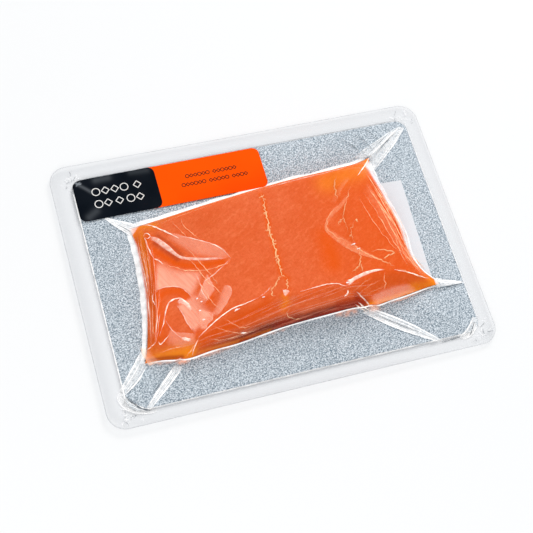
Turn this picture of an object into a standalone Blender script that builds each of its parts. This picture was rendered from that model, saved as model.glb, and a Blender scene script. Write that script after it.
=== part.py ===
"""A flat vacuum pack of cured salmon, lying as it is sold.

A silver card lies between two clear films that are sealed together in a flange all
round it. A thick piece of salmon rests on the card, half over a paper slip. The cover
film hugs the fish down to the card, pulls its corners out into points and runs from
them to the card's edge in narrow pleats. A black label and an orange one lie on the film.

Metres, +Z up, +X along the pack. The origin is on the table, under the pack's middle.
"""
import bpy
import numpy as np

# Driving dimensions of the pack and its card, in metres.
PACK_LENGTH = 0.2320
PACK_WIDTH = 0.1632
PACK_CORNER = 0.0110
CARD_LENGTH = 0.2103
CARD_WIDTH = 0.1436
CARD_CORNER = 0.0070
CARD_THICKNESS = 0.0008
CARD_CENTRE = (0.0017, -0.0007)

# Films and labels. Pieces that touch keep the gap.
GAP = 0.0003
FILM = 0.0003
CARD_LIP = 0.0005
CARD_DROP = 0.0016
LABEL_THICKNESS = 0.0002
LABEL_CORNER = 0.0040
LABEL_FRONT = 0.0440
LABEL_BACK = 0.0710
BLACK_LEFT = -0.1035
BLACK_RIGHT = -0.0546
ORANGE_RIGHT = 0.0105

# The paper slip, half under the fish.
SLIP_LENGTH = 0.0700
SLIP_WIDTH = 0.0360
SLIP_THICKNESS = 0.0002
SLIP_CENTRE = (0.0720, -0.0036)
SLIP_TURN = np.radians(-2.3)
SLIP_APRON = 0.0090
SLIP_FADE = 0.0040

# The fish: its four drawn-out corners, and how far each side between them is pulled in.
FRONT_LEFT = (-0.0894, -0.0477)
FRONT_RIGHT = (0.0917, -0.0402)
BACK_RIGHT = (0.0767, 0.0500)
BACK_LEFT = (-0.0780, 0.0340)
LEFT_PULL = 0.0052
RIGHT_PULL = 0.0032
RIGHT_TUCK = 0.0042
BACK_PULL = 0.0024
EAR = 0.07

# Bulges of the fish's front edge: place and reach as shares of it, and depth.
FRONT_BULGES = ((0.13, 0.07, 0.0036), (0.28, 0.12, 0.0028), (0.77, 0.05, 0.0019), (0.86, 0.09, 0.0017))

# The fish's heights and side faces.
FISH_RIM = 0.0008
FISH_HEIGHT = 0.0152
FISH_CROWN = 0.0006
THIN_END_DROP = 0.0064
THICK_END_DROP = 0.0014
SIDE_CURVE = 1.35
RIDGE_SOFTNESS = 0.05
LEFT_FACE = 0.0075
RIGHT_FACE = 0.0095
BACK_FACE = 0.0085
EAR_REACH = (0.0130, 0.0170, 0.0100, 0.0120)
EAR_CURVE = 1.6

# How wide the front face is along the fish: it is notched at the second front pleat.
FRONT_FACE_X = (-0.090, -0.054, -0.034, -0.018, 0.006, 0.024, 0.032, 0.048, 0.060, 0.075, 0.091)
FRONT_FACE_WIDTH = (
    0.0080, 0.0088, 0.0170, 0.0170, 0.0122, 0.0122, 0.0086, 0.0158, 0.0140, 0.0090, 0.0050
)

# Cells of the fish's grid, between the roots of the two front pleats.
LEFT_CELLS = 6
MIDDLE_CELLS = 20
RIGHT_CELLS = 9
ACROSS_CELLS = 14

# The pleats: where each leaves the fish's outline (0 to 4, a unit a side, from the front
# left corner anticlockwise), where it meets the card's (the same count) and its height.
PLEAT_ROOT = (0.0, 0.111, 0.748, 1.0, 2.0, 3.0)
PLEAT_END = (-0.125, 0.113, 0.821, 1.247, 2.000, 3.070)
PLEAT_HEIGHT = (0.0026, 0.0022, 0.0026, 0.0018, 0.0022, 0.0016)
PLEAT_FADE = (1.3, 1.3, 1.2, 1.5, 1.3, 8.0)

# Rings of the cover film, as shares of the way from the fish's outline to the card's lip.
CARD_RINGS = (0.045, 0.14, 0.36, 0.66, 1.0)
FILLET_HEIGHT = 0.0006
FILLET_REACH = 0.05
CORNER_SHARE = 0.1
CORNER_STEPS = 5

# Heights of the stack, from the table up.
CARD_BOTTOM = FILM + GAP
CARD_TOP = CARD_BOTTOM + CARD_THICKNESS
FLOOR = CARD_TOP + GAP
SLIP_LIFT = SLIP_THICKNESS + GAP
LABEL_BOTTOM = FLOOR + FILM + GAP


def blend(start, end, share):
    """Straight mix of two values or point arrays."""
    return start + (end - start) * share


def ease(value):
    """0 below 0, 1 above 1, and a smooth S between."""
    t = np.clip(value, 0.0, 1.0)
    return t * t * (3.0 - 2.0 * t)


def material(name, colour, roughness, metallic=0.0, alpha=1.0):
    """A Principled material."""
    result = bpy.data.materials.new(name)
    result.use_nodes = True
    shader = result.node_tree.nodes["Principled BSDF"]
    shader.inputs["Base Color"].default_value = (*colour, 1.0)
    shader.inputs["Roughness"].default_value = roughness
    shader.inputs["Metallic"].default_value = metallic
    shader.inputs["Alpha"].default_value = alpha
    result.diffuse_color = (*colour, alpha)
    return result


def closed_sheet(name, upper, lower, triangles, rim, look, parent):
    """One closed body from an upper and a lower sheet of points with the same triangles,
    walled along the rim, which runs anticlockwise seen from above."""
    count = len(upper)
    points = np.vstack([upper, lower])
    faces = [tuple(triangle) for triangle in triangles]
    faces += [tuple(count + index for index in reversed(triangle)) for triangle in triangles]
    following = list(rim[1:]) + [rim[0]]
    for here, there in zip(rim, following):
        faces.append((here + count, there + count, there, here))
    mesh = bpy.data.meshes.new(name)
    mesh.from_pydata(points.tolist(), [], faces)
    mesh.materials.append(look)
    mesh.shade_smooth()
    mesh.set_sharp_from_angle(angle=np.radians(40))
    result = bpy.data.objects.new(name, mesh)
    result.parent = parent
    bpy.context.scene.collection.objects.link(result)
    return result


def plate(name, outline, bottom, thickness, look, parent):
    """A flat plate with the given outline, standing on its object's own XY plane."""
    count = len(outline)
    low = np.column_stack([outline, np.zeros(count)])
    high = np.column_stack([outline, np.full(count, thickness)])
    result = closed_sheet(name, high, low, [tuple(range(count))], list(range(count)), look, parent)
    result.location.z = bottom
    return result


def around(turn, length, width, corner, centre=(0.0, 0.0)):
    """Points of a rounded rectangle. The turn counts its corners anticlockwise: a whole
    number is the middle of a corner's arc, and 0 is the one at the front left."""
    turn = np.asarray(turn, dtype=float)
    side = np.floor(turn + CORNER_SHARE).astype(int) % 4
    share = turn + CORNER_SHARE - np.floor(turn + CORNER_SHARE)
    arc = np.clip(share / (2.0 * CORNER_SHARE), 0.0, 1.0)
    run = np.clip((share - 2.0 * CORNER_SHARE) / (1.0 - 2.0 * CORNER_SHARE), 0.0, 1.0)
    half_x = length / 2.0 - corner
    half_y = width / 2.0 - corner
    corner_x = np.array([-1, 1, 1, -1])[side] * half_x
    corner_y = np.array([-1, -1, 1, 1])[side] * half_y
    angle = np.pi + side * np.pi / 2.0 + arc * np.pi / 2.0
    along_x = np.array([1, 0, -1, 0])[side] * 2.0 * half_x * run
    along_y = np.array([0, 1, 0, -1])[side] * 2.0 * half_y * run
    x = centre[0] + corner_x + corner * np.cos(angle) + along_x
    y = centre[1] + corner_y + corner * np.sin(angle) + along_y
    return np.column_stack([x.ravel(), y.ravel()])


def corner_turns():
    """Turns that sample a rounded rectangle's four arcs, and so its straight sides."""
    steps = np.linspace(-CORNER_SHARE, CORNER_SHARE, CORNER_STEPS + 1)
    return np.concatenate([side + steps for side in range(4)])


def card_edge(turn, grow=0.0):
    """The card's outline, grown outwards."""
    return around(turn, CARD_LENGTH + 2 * grow, CARD_WIDTH + 2 * grow, CARD_CORNER + grow, CARD_CENTRE)


def pack_edge(turn):
    """The pack's outline."""
    return around(turn, PACK_LENGTH, PACK_WIDTH, PACK_CORNER)


def slip_lift(x, y):
    """How much the slip raises what lies on it: full over it and an apron round it."""
    offset_x = x - SLIP_CENTRE[0]
    offset_y = y - SLIP_CENTRE[1]
    own_x = offset_x * np.cos(SLIP_TURN) + offset_y * np.sin(SLIP_TURN)
    own_y = offset_y * np.cos(SLIP_TURN) - offset_x * np.sin(SLIP_TURN)
    beyond_x = np.maximum(np.abs(own_x) - SLIP_WIDTH / 2.0, 0.0)
    beyond_y = np.maximum(np.abs(own_y) - SLIP_LENGTH / 2.0, 0.0)
    beyond = np.hypot(beyond_x, beyond_y)
    return SLIP_LIFT * (1.0 - ease((beyond - SLIP_APRON) / SLIP_FADE))


def pulled_in(share):
    """1 along the middle of a side and 0 at its two drawn-out ends."""
    return (1.0 - np.exp(-share / EAR)) * (1.0 - np.exp(-(1.0 - share) / EAR))


def bump(share, place, reach):
    """A smooth bump of height 1 at a place along a side."""
    return np.exp(-((share - place) / reach) ** 2)


def front_side(u):
    """The fish's front edge: a straight line with a bulge at the root of each of its two
    pleats and one beyond each."""
    x = blend(FRONT_LEFT[0], FRONT_RIGHT[0], u)
    y = blend(FRONT_LEFT[1], FRONT_RIGHT[1], u)
    bulge = sum(depth * bump(u, place, reach) for place, reach, depth in FRONT_BULGES)
    return x, y - bulge * pulled_in(u)


def back_side(u):
    """The fish's back edge: straight, and pulled in towards its right end."""
    x = blend(BACK_LEFT[0], BACK_RIGHT[0], u)
    y = blend(BACK_LEFT[1], BACK_RIGHT[1], u)
    return x, y - BACK_PULL * bump(u, 0.88, 0.19) * (1.0 - np.exp(-(1.0 - u) / 0.03)) * ease(u / 0.2)


def left_side(v):
    """The fish's left edge: pulled in as a flat arch, a little more near the front."""
    x = blend(FRONT_LEFT[0], BACK_LEFT[0], v)
    y = blend(FRONT_LEFT[1], BACK_LEFT[1], v)
    arch = np.clip(np.sin(np.pi * v), 0.0, 1.0) ** 0.6
    return x + LEFT_PULL * arch * (1.0 - 0.2 * v), y


def right_side(v):
    """The fish's right edge: pulled in evenly, and tucked in before its long front ear."""
    x = blend(FRONT_RIGHT[0], BACK_RIGHT[0], v)
    y = blend(FRONT_RIGHT[1], BACK_RIGHT[1], v)
    return x - RIGHT_PULL * pulled_in(v) - RIGHT_TUCK * bump(v, 0.2, 0.15) * ease(v / 0.1), y


def fish_plan(u, v):
    """Plan points inside the fish's outline: its four sides carried across (a Coons patch)."""
    result = []
    for axis in (0, 1):
        across = blend(front_side(u)[axis], back_side(u)[axis], v)
        along = blend(left_side(v)[axis], right_side(v)[axis], u)
        front = blend(FRONT_LEFT[axis], FRONT_RIGHT[axis], u)
        back = blend(BACK_LEFT[axis], BACK_RIGHT[axis], u)
        result.append(across + along - blend(front, back, v))
    return result


def side_rise(distance, width):
    """How a side face climbs from the fish's edge: 0 at the edge, 1 at the face's width."""
    left = 1.0 - np.clip(distance / width, 0.0, 1.0)
    return (1.0 - left ** SIDE_CURVE) ** (1.0 / SIDE_CURVE)


def soft_least(values, softness):
    """The least of several values, rounded off where two are near each other."""
    total = sum(np.exp(-value / softness) for value in values)
    return -softness * np.log(total)


def fish_height(u, v, x, y):
    """The fish's height over its rim: a slab that thins to the left, with four side faces
    that meet in ridges like a hipped roof."""
    deep = np.hypot(back_side(u)[0] - front_side(u)[0], back_side(u)[1] - front_side(u)[1])
    long = np.hypot(right_side(v)[0] - left_side(v)[0], right_side(v)[1] - left_side(v)[1])
    faces = (
        side_rise(v * deep, np.interp(x, FRONT_FACE_X, FRONT_FACE_WIDTH)),
        side_rise((1.0 - v) * deep, BACK_FACE),
        side_rise(u * long, LEFT_FACE),
        side_rise((1.0 - u) * long, RIGHT_FACE),
    )
    level = soft_least(faces, RIDGE_SOFTNESS) / soft_least((1.0, 1.0, 1.0, 1.0), RIDGE_SOFTNESS)
    for corner, reach in zip((FRONT_LEFT, FRONT_RIGHT, BACK_RIGHT, BACK_LEFT), EAR_REACH):
        distance = np.hypot(x - corner[0], y - corner[1])
        level = level * (1.0 - np.exp(-(distance / reach) ** EAR_CURVE))
    slab = FISH_HEIGHT + FISH_CROWN * (1.0 - (y / 0.045) ** 2)
    slab = slab - THIN_END_DROP * ease((-0.020 - x) / 0.058) - THICK_END_DROP * ease((x - 0.040) / 0.045)
    return slab * np.clip(level, 0.0, None)


def fish_lines():
    """The grid's lines across the fish, closer near its edges, with one at each pleat's root."""
    left = PLEAT_ROOT[1] * np.linspace(0.0, 1.0, LEFT_CELLS + 1) ** 1.3
    middle = np.linspace(PLEAT_ROOT[1], PLEAT_ROOT[2], MIDDLE_CELLS + 1)
    right = 1.0 - (1.0 - PLEAT_ROOT[2]) * np.linspace(1.0, 0.0, RIGHT_CELLS + 1) ** 1.5
    u = np.concatenate([left, middle[1:], right[1:]])
    v = 0.5 - 0.5 * np.cos(np.pi * np.linspace(0.0, 1.0, ACROSS_CELLS + 1))
    return u, v


def grid_triangles(columns, rows):
    """Two triangles for each cell of a grid numbered row by row, split along the line
    that runs towards the nearest corner of the grid, as the ridges do."""
    triangles = []
    for row in range(rows - 1):
        for column in range(columns - 1):
            a = row * columns + column
            b = a + 1
            c = b + columns
            d = a + columns
            if (column < columns / 2) == (row < rows / 2):
                triangles += [(a, b, c), (a, c, d)]
            else:
                triangles += [(a, b, d), (b, c, d)]
    return triangles


def outline_of_grid(columns, rows):
    """The grid's edge points, anticlockwise from its front left corner."""
    front = [column for column in range(columns)]
    right = [row * columns + columns - 1 for row in range(1, rows)]
    back = [(rows - 1) * columns + column for column in range(columns - 2, -1, -1)]
    left = [row * columns for row in range(rows - 2, 0, -1)]
    return front + right + back + left


def outline_turns(u, v):
    """The place of each outline point on the fish, counted 0 to 4 from the front left."""
    return np.concatenate([u, 1.0 + v[1:], 3.0 - u[-2::-1], 4.0 - v[-2:0:-1]])


def fish_points():
    """The fish's grid: plan, upper points, lower points, outline and its turns."""
    u, v = fish_lines()
    grid_u, grid_v = np.meshgrid(u, v)
    x, y = fish_plan(grid_u, grid_v)
    height = fish_height(grid_u, grid_v, x, y)
    under = FLOOR + slip_lift(x, y)
    lower = np.column_stack([x.ravel(), y.ravel(), under.ravel()])
    upper = lower.copy()
    upper[:, 2] += FISH_RIM + height.ravel()
    return upper, lower, grid_triangles(len(u), len(v)), outline_of_grid(len(u), len(v)), outline_turns(u, v)


def salmon(look, parent):
    """The piece of salmon."""
    upper, lower, triangles, rim, _ = fish_points()
    return closed_sheet("salmon_fillet", upper, lower, triangles, rim, look, parent)


def clear_cover(look, parent):
    """The cover film, solid out to its outer surface: a skin over the fish, then rings from
    the fish's outline over the card, down its edge and out across the flange."""
    fish, _, triangles, outline, turns = fish_points()
    lower = [fish + (0.0, 0.0, GAP)]
    upper = [fish + (0.0, 0.0, GAP + FILM)]
    ends = np.interp(turns, PLEAT_ROOT + (4.0,), PLEAT_END + (PLEAT_END[0] + 4.0,))
    ridge = np.zeros(len(turns))
    fade = np.ones(len(turns))
    for place, height, power in zip(PLEAT_ROOT, PLEAT_HEIGHT, PLEAT_FADE):
        column = int(np.argmin(np.abs(turns - place)))
        ridge[column] = height
        fade[column] = power
    upper[0][outline, 2] += 0.6 * ridge
    start = fish[outline, :2]
    lip = card_edge(ends, CARD_LIP)
    for share in CARD_RINGS:
        plan = blend(start, lip, share)
        under = FLOOR + slip_lift(plan[:, 0], plan[:, 1])
        fillet = FILLET_HEIGHT * np.exp(-share / FILLET_REACH) * (1.0 - share)
        over = under + FILM + fillet + ridge * (1.0 - share) ** fade
        lower.append(np.column_stack([plan, under]))
        upper.append(np.column_stack([plan, over]))
    count = len(outline)
    level = np.full(count, FILM + GAP)
    for plan in (card_edge(ends, CARD_DROP), pack_edge(ends)):
        lower.append(np.column_stack([plan, level]))
        upper.append(np.column_stack([plan, level + FILM]))
    inner = list(outline)
    first = len(fish)
    triangles = list(triangles)
    for _ in range(len(upper) - 1):
        outer = list(range(first, first + count))
        for k in range(count):
            after = (k + 1) % count
            triangles.append((inner[k], outer[k], outer[after]))
            triangles.append((inner[k], outer[after], inner[after]))
        inner = outer
        first += count
    return closed_sheet("clear_cover", np.vstack(upper), np.vstack(lower), triangles, inner, look, parent)


def base_film(look, parent):
    """The film under the card, out to the pack's edge."""
    return plate("base_film", pack_edge(corner_turns()), 0.0, FILM, look, parent)


def foil_card(look, parent):
    """The silver card."""
    outline = around(corner_turns(), CARD_LENGTH, CARD_WIDTH, CARD_CORNER)
    result = plate("foil_card", outline, CARD_BOTTOM, CARD_THICKNESS, look, parent)
    result.location.xy = CARD_CENTRE
    return result


def paper_slip(look, parent):
    """The paper slip, turned a little, with its left half under the fish."""
    half_x = SLIP_WIDTH / 2.0
    half_y = SLIP_LENGTH / 2.0
    outline = [(-half_x, -half_y), (half_x, -half_y), (half_x, half_y), (-half_x, half_y)]
    result = plate("paper_slip", outline, FLOOR, SLIP_THICKNESS, look, parent)
    result.location.xy = SLIP_CENTRE
    result.rotation_euler.z = SLIP_TURN
    return result


def arc(centre, radius, start, end):
    """Points of an arc, from one angle in degrees to another."""
    angle = np.radians(np.linspace(start, end, CORNER_STEPS + 1))
    return [(centre[0] + radius * np.cos(a), centre[1] + radius * np.sin(a)) for a in angle]


def black_label(look, parent):
    """The black label, at the card's back left corner."""
    middle = ((BLACK_LEFT + BLACK_RIGHT) / 2.0, (LABEL_FRONT + LABEL_BACK) / 2.0)
    outline = around(corner_turns(), BLACK_RIGHT - BLACK_LEFT, LABEL_BACK - LABEL_FRONT, LABEL_CORNER)
    result = plate("black_label", outline, LABEL_BOTTOM, LABEL_THICKNESS, look, parent)
    result.location.xy = middle
    return result


def orange_label(look, parent):
    """The orange label: its left end is hollowed to fit round the black one's corners."""
    hollow = LABEL_CORNER + GAP
    reach = np.degrees(np.arcsin(LABEL_CORNER / hollow))
    near = BLACK_RIGHT - LABEL_CORNER
    far = ORANGE_RIGHT - LABEL_CORNER
    low = LABEL_FRONT + LABEL_CORNER
    high = LABEL_BACK - LABEL_CORNER
    outline = arc((near, low), hollow, 0.0, -reach)
    outline += arc((far, low), LABEL_CORNER, -90.0, 0.0)
    outline += arc((far, high), LABEL_CORNER, 0.0, 90.0)
    outline += arc((near, high), hollow, reach, 0.0)
    return plate("orange_label", outline, LABEL_BOTTOM, LABEL_THICKNESS, look, parent)


def build():
    """Clear the scene and make the pack."""
    for old in list(bpy.data.objects):
        bpy.data.objects.remove(old, do_unlink=True)
    pack = bpy.data.objects.new("pack", None)
    bpy.context.scene.collection.objects.link(pack)
    film = material("clear_film", (0.86, 0.87, 0.89), 0.12, alpha=0.25)
    base_film(film, pack)
    clear_cover(film, pack)
    foil_card(material("silver_foil", (0.62, 0.66, 0.69), 0.38, metallic=0.9), pack)
    salmon(material("salmon_flesh", (0.83, 0.20, 0.035), 0.35), pack)
    paper_slip(material("white_paper", (0.80, 0.81, 0.86), 0.7), pack)
    black_label(material("black_print", (0.012, 0.016, 0.024), 0.35), pack)
    orange_label(material("orange_print", (1.0, 0.12, 0.0), 0.4), pack)


build()
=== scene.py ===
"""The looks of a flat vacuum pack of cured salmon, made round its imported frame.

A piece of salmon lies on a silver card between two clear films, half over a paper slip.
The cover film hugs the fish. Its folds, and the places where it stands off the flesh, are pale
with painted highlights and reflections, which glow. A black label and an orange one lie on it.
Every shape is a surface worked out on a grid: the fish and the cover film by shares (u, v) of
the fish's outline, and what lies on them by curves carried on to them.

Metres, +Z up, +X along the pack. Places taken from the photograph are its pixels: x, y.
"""

import bpy
import numpy as np
from mathutils import Matrix, Vector


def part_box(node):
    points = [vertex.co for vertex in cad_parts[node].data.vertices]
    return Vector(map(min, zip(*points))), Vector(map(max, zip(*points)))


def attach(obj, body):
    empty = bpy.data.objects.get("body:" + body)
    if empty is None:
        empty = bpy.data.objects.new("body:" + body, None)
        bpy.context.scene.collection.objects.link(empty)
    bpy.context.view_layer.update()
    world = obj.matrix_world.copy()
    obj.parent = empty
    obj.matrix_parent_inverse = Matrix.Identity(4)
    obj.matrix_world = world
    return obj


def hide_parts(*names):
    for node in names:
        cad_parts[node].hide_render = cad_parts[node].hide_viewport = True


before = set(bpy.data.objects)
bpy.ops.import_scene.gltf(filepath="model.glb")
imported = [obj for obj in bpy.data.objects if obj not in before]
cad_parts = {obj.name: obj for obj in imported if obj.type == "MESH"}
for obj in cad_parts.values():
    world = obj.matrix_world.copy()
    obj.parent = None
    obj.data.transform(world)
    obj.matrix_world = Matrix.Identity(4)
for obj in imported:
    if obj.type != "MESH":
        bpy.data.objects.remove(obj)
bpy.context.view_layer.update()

MM = 0.001

# The photograph's camera: its pixels and lens, how it is turned, and what it looks at.
PHOTO_SIZE = 533
SENSOR = 36.0
LENS = 79.634
AZIMUTH, ELEVATION, ROLL = np.radians((-34.116, 65.260, 19.538))
LOOK_AT = np.array((-0.00537, -0.00549, 0.0))
DISTANCE = 0.6874

# Boxes of the CAD nodes, each its low and its high corner, and the sizes of the films,
# the card and the labels.
CARD, PACK, BLACK, ORANGE = (
    np.array(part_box(node)) for node in ("foil_card", "base_film", "black_label", "orange_label"))
GAP = 0.3 * MM
FLOOR = CARD[1, 2] + GAP
FILM = 0.1 * MM
FILM_LIFT = 0.12 * MM
FOOT_REACH = 0.7 * MM
FLANGE_LEVEL = 0.25 * MM
FLANGE_CURL = 0.8 * MM
PACK_CORNER = 11.0 * MM
CARD_CORNER = 7.0 * MM
CARD_EDGE = 0.3 * MM
CARD_LIP = 0.5 * MM
CARD_DROP = 1.6 * MM
CARD_ROUND = 0.2 * MM
LABEL_CORNER = 4.0 * MM
LABEL_THICKNESS = 0.1 * MM
ORANGE_TUCK = np.array((6.0 * MM, 0.0, 0.0))

# The creases in the flange's corners: how far in from its edges their middle lies, where
# they fade round it, how far off the card they start, and their length and height.
CREASE_MIDDLE = 7.0 * MM
CREASE_FADE = (5.0 * MM, 8.0 * MM)
CREASE_START = 2.0 * MM
CREASE_LENGTH = 2.6 * MM
CREASE_HEIGHT = 0.14 * MM

# The slip's middle, turn and half size, and how it lifts what lies on it: full up to an
# apron round it, and fading out from there.
SLIP_MIDDLE = (72.0 * MM, -3.6 * MM)
SLIP_TURN = np.radians(-2.3)
SLIP_HALF = np.array((18.0, 35.0)) * MM
SLIP_LIFT = 0.5 * MM
SLIP_FADE = (9.0 * MM, 4.0 * MM)

# The fish's outline: its four drawn-out corners, and how far each side is pulled in.
FRONT_LEFT = (-89.4 * MM, -47.7 * MM)
FRONT_RIGHT = (91.7 * MM, -40.2 * MM)
BACK_RIGHT = (76.7 * MM, 50.0 * MM)
BACK_LEFT = (-78.0 * MM, 34.0 * MM)
FISH_LENGTH = 170.0 * MM
FISH_WIDTH = 90.0 * MM
EAR = 0.07
LEFT_PULL = 5.2 * MM
RIGHT_PULL = 3.2 * MM
RIGHT_TUCK = 4.2 * MM
BACK_PULL = 2.4 * MM
# The bulges of its front: each one's share of the front, reach and depth.
FRONT_BULGES = (
    (0.13, 0.07, 3.6 * MM), (0.28, 0.12, 2.8 * MM), (0.77, 0.05, 1.9 * MM), (0.86, 0.09, 1.7 * MM))

# The fish's heights, and where its ends begin to drop and over what length.
FISH_RIM = 0.8 * MM
FISH_HEIGHT = 15.2 * MM
FISH_CROWN = 0.6 * MM
CROWN_REACH = 45.0 * MM
THIN_END_DROP = 6.4 * MM
THIN_END = (20.0 * MM, 58.0 * MM)
THICK_END_DROP = 1.4 * MM
THICK_END = (40.0 * MM, 45.0 * MM)
# Its side faces: how they curve, how soft the ridges between them are, how wide each is,
# and how the drawn-out corners sink.
SIDE_CURVE = 1.35
RIDGE_SOFTNESS = 0.05
LEFT_FACE = 7.5 * MM
RIGHT_FACE = 9.5 * MM
BACK_FACE = 8.5 * MM
FRONT_FACE_X = np.array((-90, -54, -34, -18, 6, 24, 32, 48, 60, 75, 91)) * MM
FRONT_FACE_WIDTH = np.array((8.0, 8.8, 17.0, 17.0, 12.2, 12.2, 8.6, 15.8, 14.0, 9.0, 5.0)) * MM
EAR_REACH = (
    (FRONT_LEFT, 13.0 * MM), (FRONT_RIGHT, 17.0 * MM), (BACK_RIGHT, 10.0 * MM), (BACK_LEFT, 12.0 * MM))
EAR_CURVE = 1.6
# Its unevenness: height, length and draw of each set of waves, and where they are full.
FISH_WAVES = ((0.10 * MM, 34.0 * MM, 3), (0.025 * MM, 9.0 * MM, 4))
WAVES_FULL = 6.0 * MM

# The pleats: each one's root on the fish's outline (0 to 4, a unit a side, from the front
# left corner anticlockwise), its end on the card's, its height, how fast it sinks, its width.
PLEAT_ROOT = (0.0, 0.111, 0.748, 1.0, 2.0, 3.0)
PLEAT_END = (-0.125, 0.113, 0.821, 1.247, 2.000, 3.070)
PLEAT_HEIGHT = np.array((2.6, 2.2, 2.6, 1.8, 2.2, 1.6)) * MM
PLEAT_FADE = (1.3, 1.3, 1.2, 1.5, 1.3, 8.0)
PLEAT_WIDTH = np.array((2.4, 1.6, 1.6, 1.3, 2.2, 1.8)) * MM
PLEAT_BACK = 3.0 * MM
CORNER_SHARE = 0.1


# ---- formulas

def blend(start, end, share):
    """Straight mix of two values or arrays."""
    return start + (end - start) * share


def between(start, end, share):
    """Plan points on the straight lines between plan points."""
    return blend(start[0], end[0], share), blend(start[1], end[1], share)


def apart(first, second):
    """The distance between plan points."""
    return np.hypot(second[0] - first[0], second[1] - first[1])


def ease(value, start=0.0, length=1.0):
    """0 up to a start, 1 from a length further on, and a smooth S between."""
    t = np.clip((value - start) / length, 0.0, 1.0)
    return t * t * (3.0 - 2.0 * t)


def faded(share, first, last):
    """1 along the middle of the shares from 0 to 1, and easing to 0 over one at each end."""
    return ease(share, 0.0, first) * ease(1.0 - share, 0.0, last)


def bump(value, place, reach):
    """A bell of height 1 at a place."""
    return np.exp(-((value - place) / reach) ** 2)


def waves(x, y, length, seed, count=12):
    """Smooth uneven relief between about -1 and 1: plane waves of nearly one length, whose
    directions, phases and lengths are drawn once."""
    draw = np.random.default_rng(seed)
    total = np.zeros(np.shape(x))
    for _ in range(count):
        angle = draw.uniform(0.0, 2.0 * np.pi)
        pitch = 2.0 * np.pi / (length * draw.uniform(0.7, 1.5))
        phase = draw.uniform(0.0, 2.0 * np.pi)
        total += np.sin((x * np.cos(angle) + y * np.sin(angle)) * pitch + phase)
    return total / np.sqrt(2.0 * count)


def wander(count, seed, pitch=7.0):
    """Uneven numbers about -1 to 1 along a line of count places: five sines whose lengths
    are near pitch places and whose phases are drawn once."""
    draw = np.random.default_rng(seed)
    place = np.arange(count)[:, None]
    length = pitch * draw.uniform(0.6, 2.2, 5)
    phase = draw.uniform(0.0, 2.0 * np.pi, 5)
    return np.sin(place * 2.0 * np.pi / length + phase).sum(axis=1) / 2.2


def curve(pixels, count):
    """Count places along a smooth curve through pixels (Catmull and Rom's cubic)."""
    points = np.reshape(pixels, (-1, 2)).astype(float)
    held = np.vstack([2 * points[0] - points[1], points, 2 * points[-1] - points[-2]])
    place = np.linspace(0.0, len(points) - 1.0, count)
    span = np.minimum(place.astype(int), len(points) - 2)
    t = (place - span)[:, None]
    a, b, c, d = (held[span + k] for k in range(4))
    square = 2 * a - 5 * b + 4 * c - d
    cubic = 3 * b - a - 3 * c + d
    return 0.5 * (2 * b + (c - a) * t + square * t ** 2 + cubic * t ** 3)


def rounded(turn, box, corner, grow=0.0):
    """A box's outline in plan with rounded corners, grown outwards. The turn counts its
    corners anticlockwise: a whole number is the middle of a corner's arc, and 0 is the one
    at the front left."""
    turn = np.asarray(turn, dtype=float) + CORNER_SHARE
    side = np.floor(turn).astype(int) % 4
    share = turn - np.floor(turn)
    arc = np.clip(share / (2.0 * CORNER_SHARE), 0.0, 1.0)
    run = np.clip((share - 2.0 * CORNER_SHARE) / (1.0 - 2.0 * CORNER_SHARE), 0.0, 1.0)
    angle = np.pi + (side + arc) * np.pi / 2.0
    middle = (box[0] + box[1]) / 2.0
    half = (box[1] - box[0]) / 2.0 - corner
    corners_x = np.array((-1, 1, 1, -1, -1)) * half[0]
    corners_y = np.array((-1, -1, 1, 1, -1)) * half[1]
    x = blend(corners_x[side], corners_x[side + 1], run) + (corner + grow) * np.cos(angle)
    y = blend(corners_y[side], corners_y[side + 1], run) + (corner + grow) * np.sin(angle)
    return middle[0] + x, middle[1] + y


def card_edge(turn, grow=0.0):
    """The card's outline, grown outwards."""
    return rounded(turn, CARD, CARD_CORNER, grow)


def beyond(x, y, half, corner=0.0):
    """How far a plan point lies outside a box about the middle, of half a size and with
    rounded corners: negative inside it."""
    over_x = np.abs(x) - half[0] + corner
    over_y = np.abs(y) - half[1] + corner
    outside = np.hypot(np.maximum(over_x, 0.0), np.maximum(over_y, 0.0))
    return outside + np.minimum(np.maximum(over_x, over_y), 0.0) - corner


def off_card(x, y):
    """How far a plan point lies outside the card."""
    middle = (CARD[0] + CARD[1]) / 2.0
    return beyond(x - middle[0], y - middle[1], CARD[1] - middle, CARD_CORNER)


# ---- the camera's geometry

def camera_axes():
    """The camera's right, up and backward directions: the last points from what it looks at
    to the camera, and the first two are turned about it by the roll."""
    flat = np.cos(ELEVATION)
    back = np.array((np.sin(AZIMUTH) * flat, -np.cos(AZIMUTH) * flat, np.sin(ELEVATION)))
    level = np.array((np.cos(AZIMUTH), np.sin(AZIMUTH), 0.0))
    upright = np.cross(back, level)
    right = np.cos(ROLL) * level + np.sin(ROLL) * upright
    up = np.cos(ROLL) * upright - np.sin(ROLL) * level
    return right, up, back


RIGHT, UP, BACK = camera_axes()
EYE = LOOK_AT + BACK * DISTANCE
FOCAL = LENS / SENSOR * PHOTO_SIZE
FIRST_GUESS = 10.0 * MM


def land(pixels, surface):
    """Plan points where the camera's rays through pixels meet a surface z(x, y): the ray is
    cut at a guessed height, and the guess goes halfway to the surface there, many times."""
    across, down = ((pixels + 0.5 - PHOTO_SIZE / 2) / FOCAL).T
    ray = across[:, None] * RIGHT - down[:, None] * UP - BACK
    height = np.full(len(pixels), FIRST_GUESS)
    for _ in range(24):
        reach = (height - EYE[2]) / ray[:, 2]
        x = EYE[0] + ray[:, 0] * reach
        y = EYE[1] + ray[:, 1] * reach
        height = 0.5 * (height + surface(x, y))
    return x, y


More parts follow.
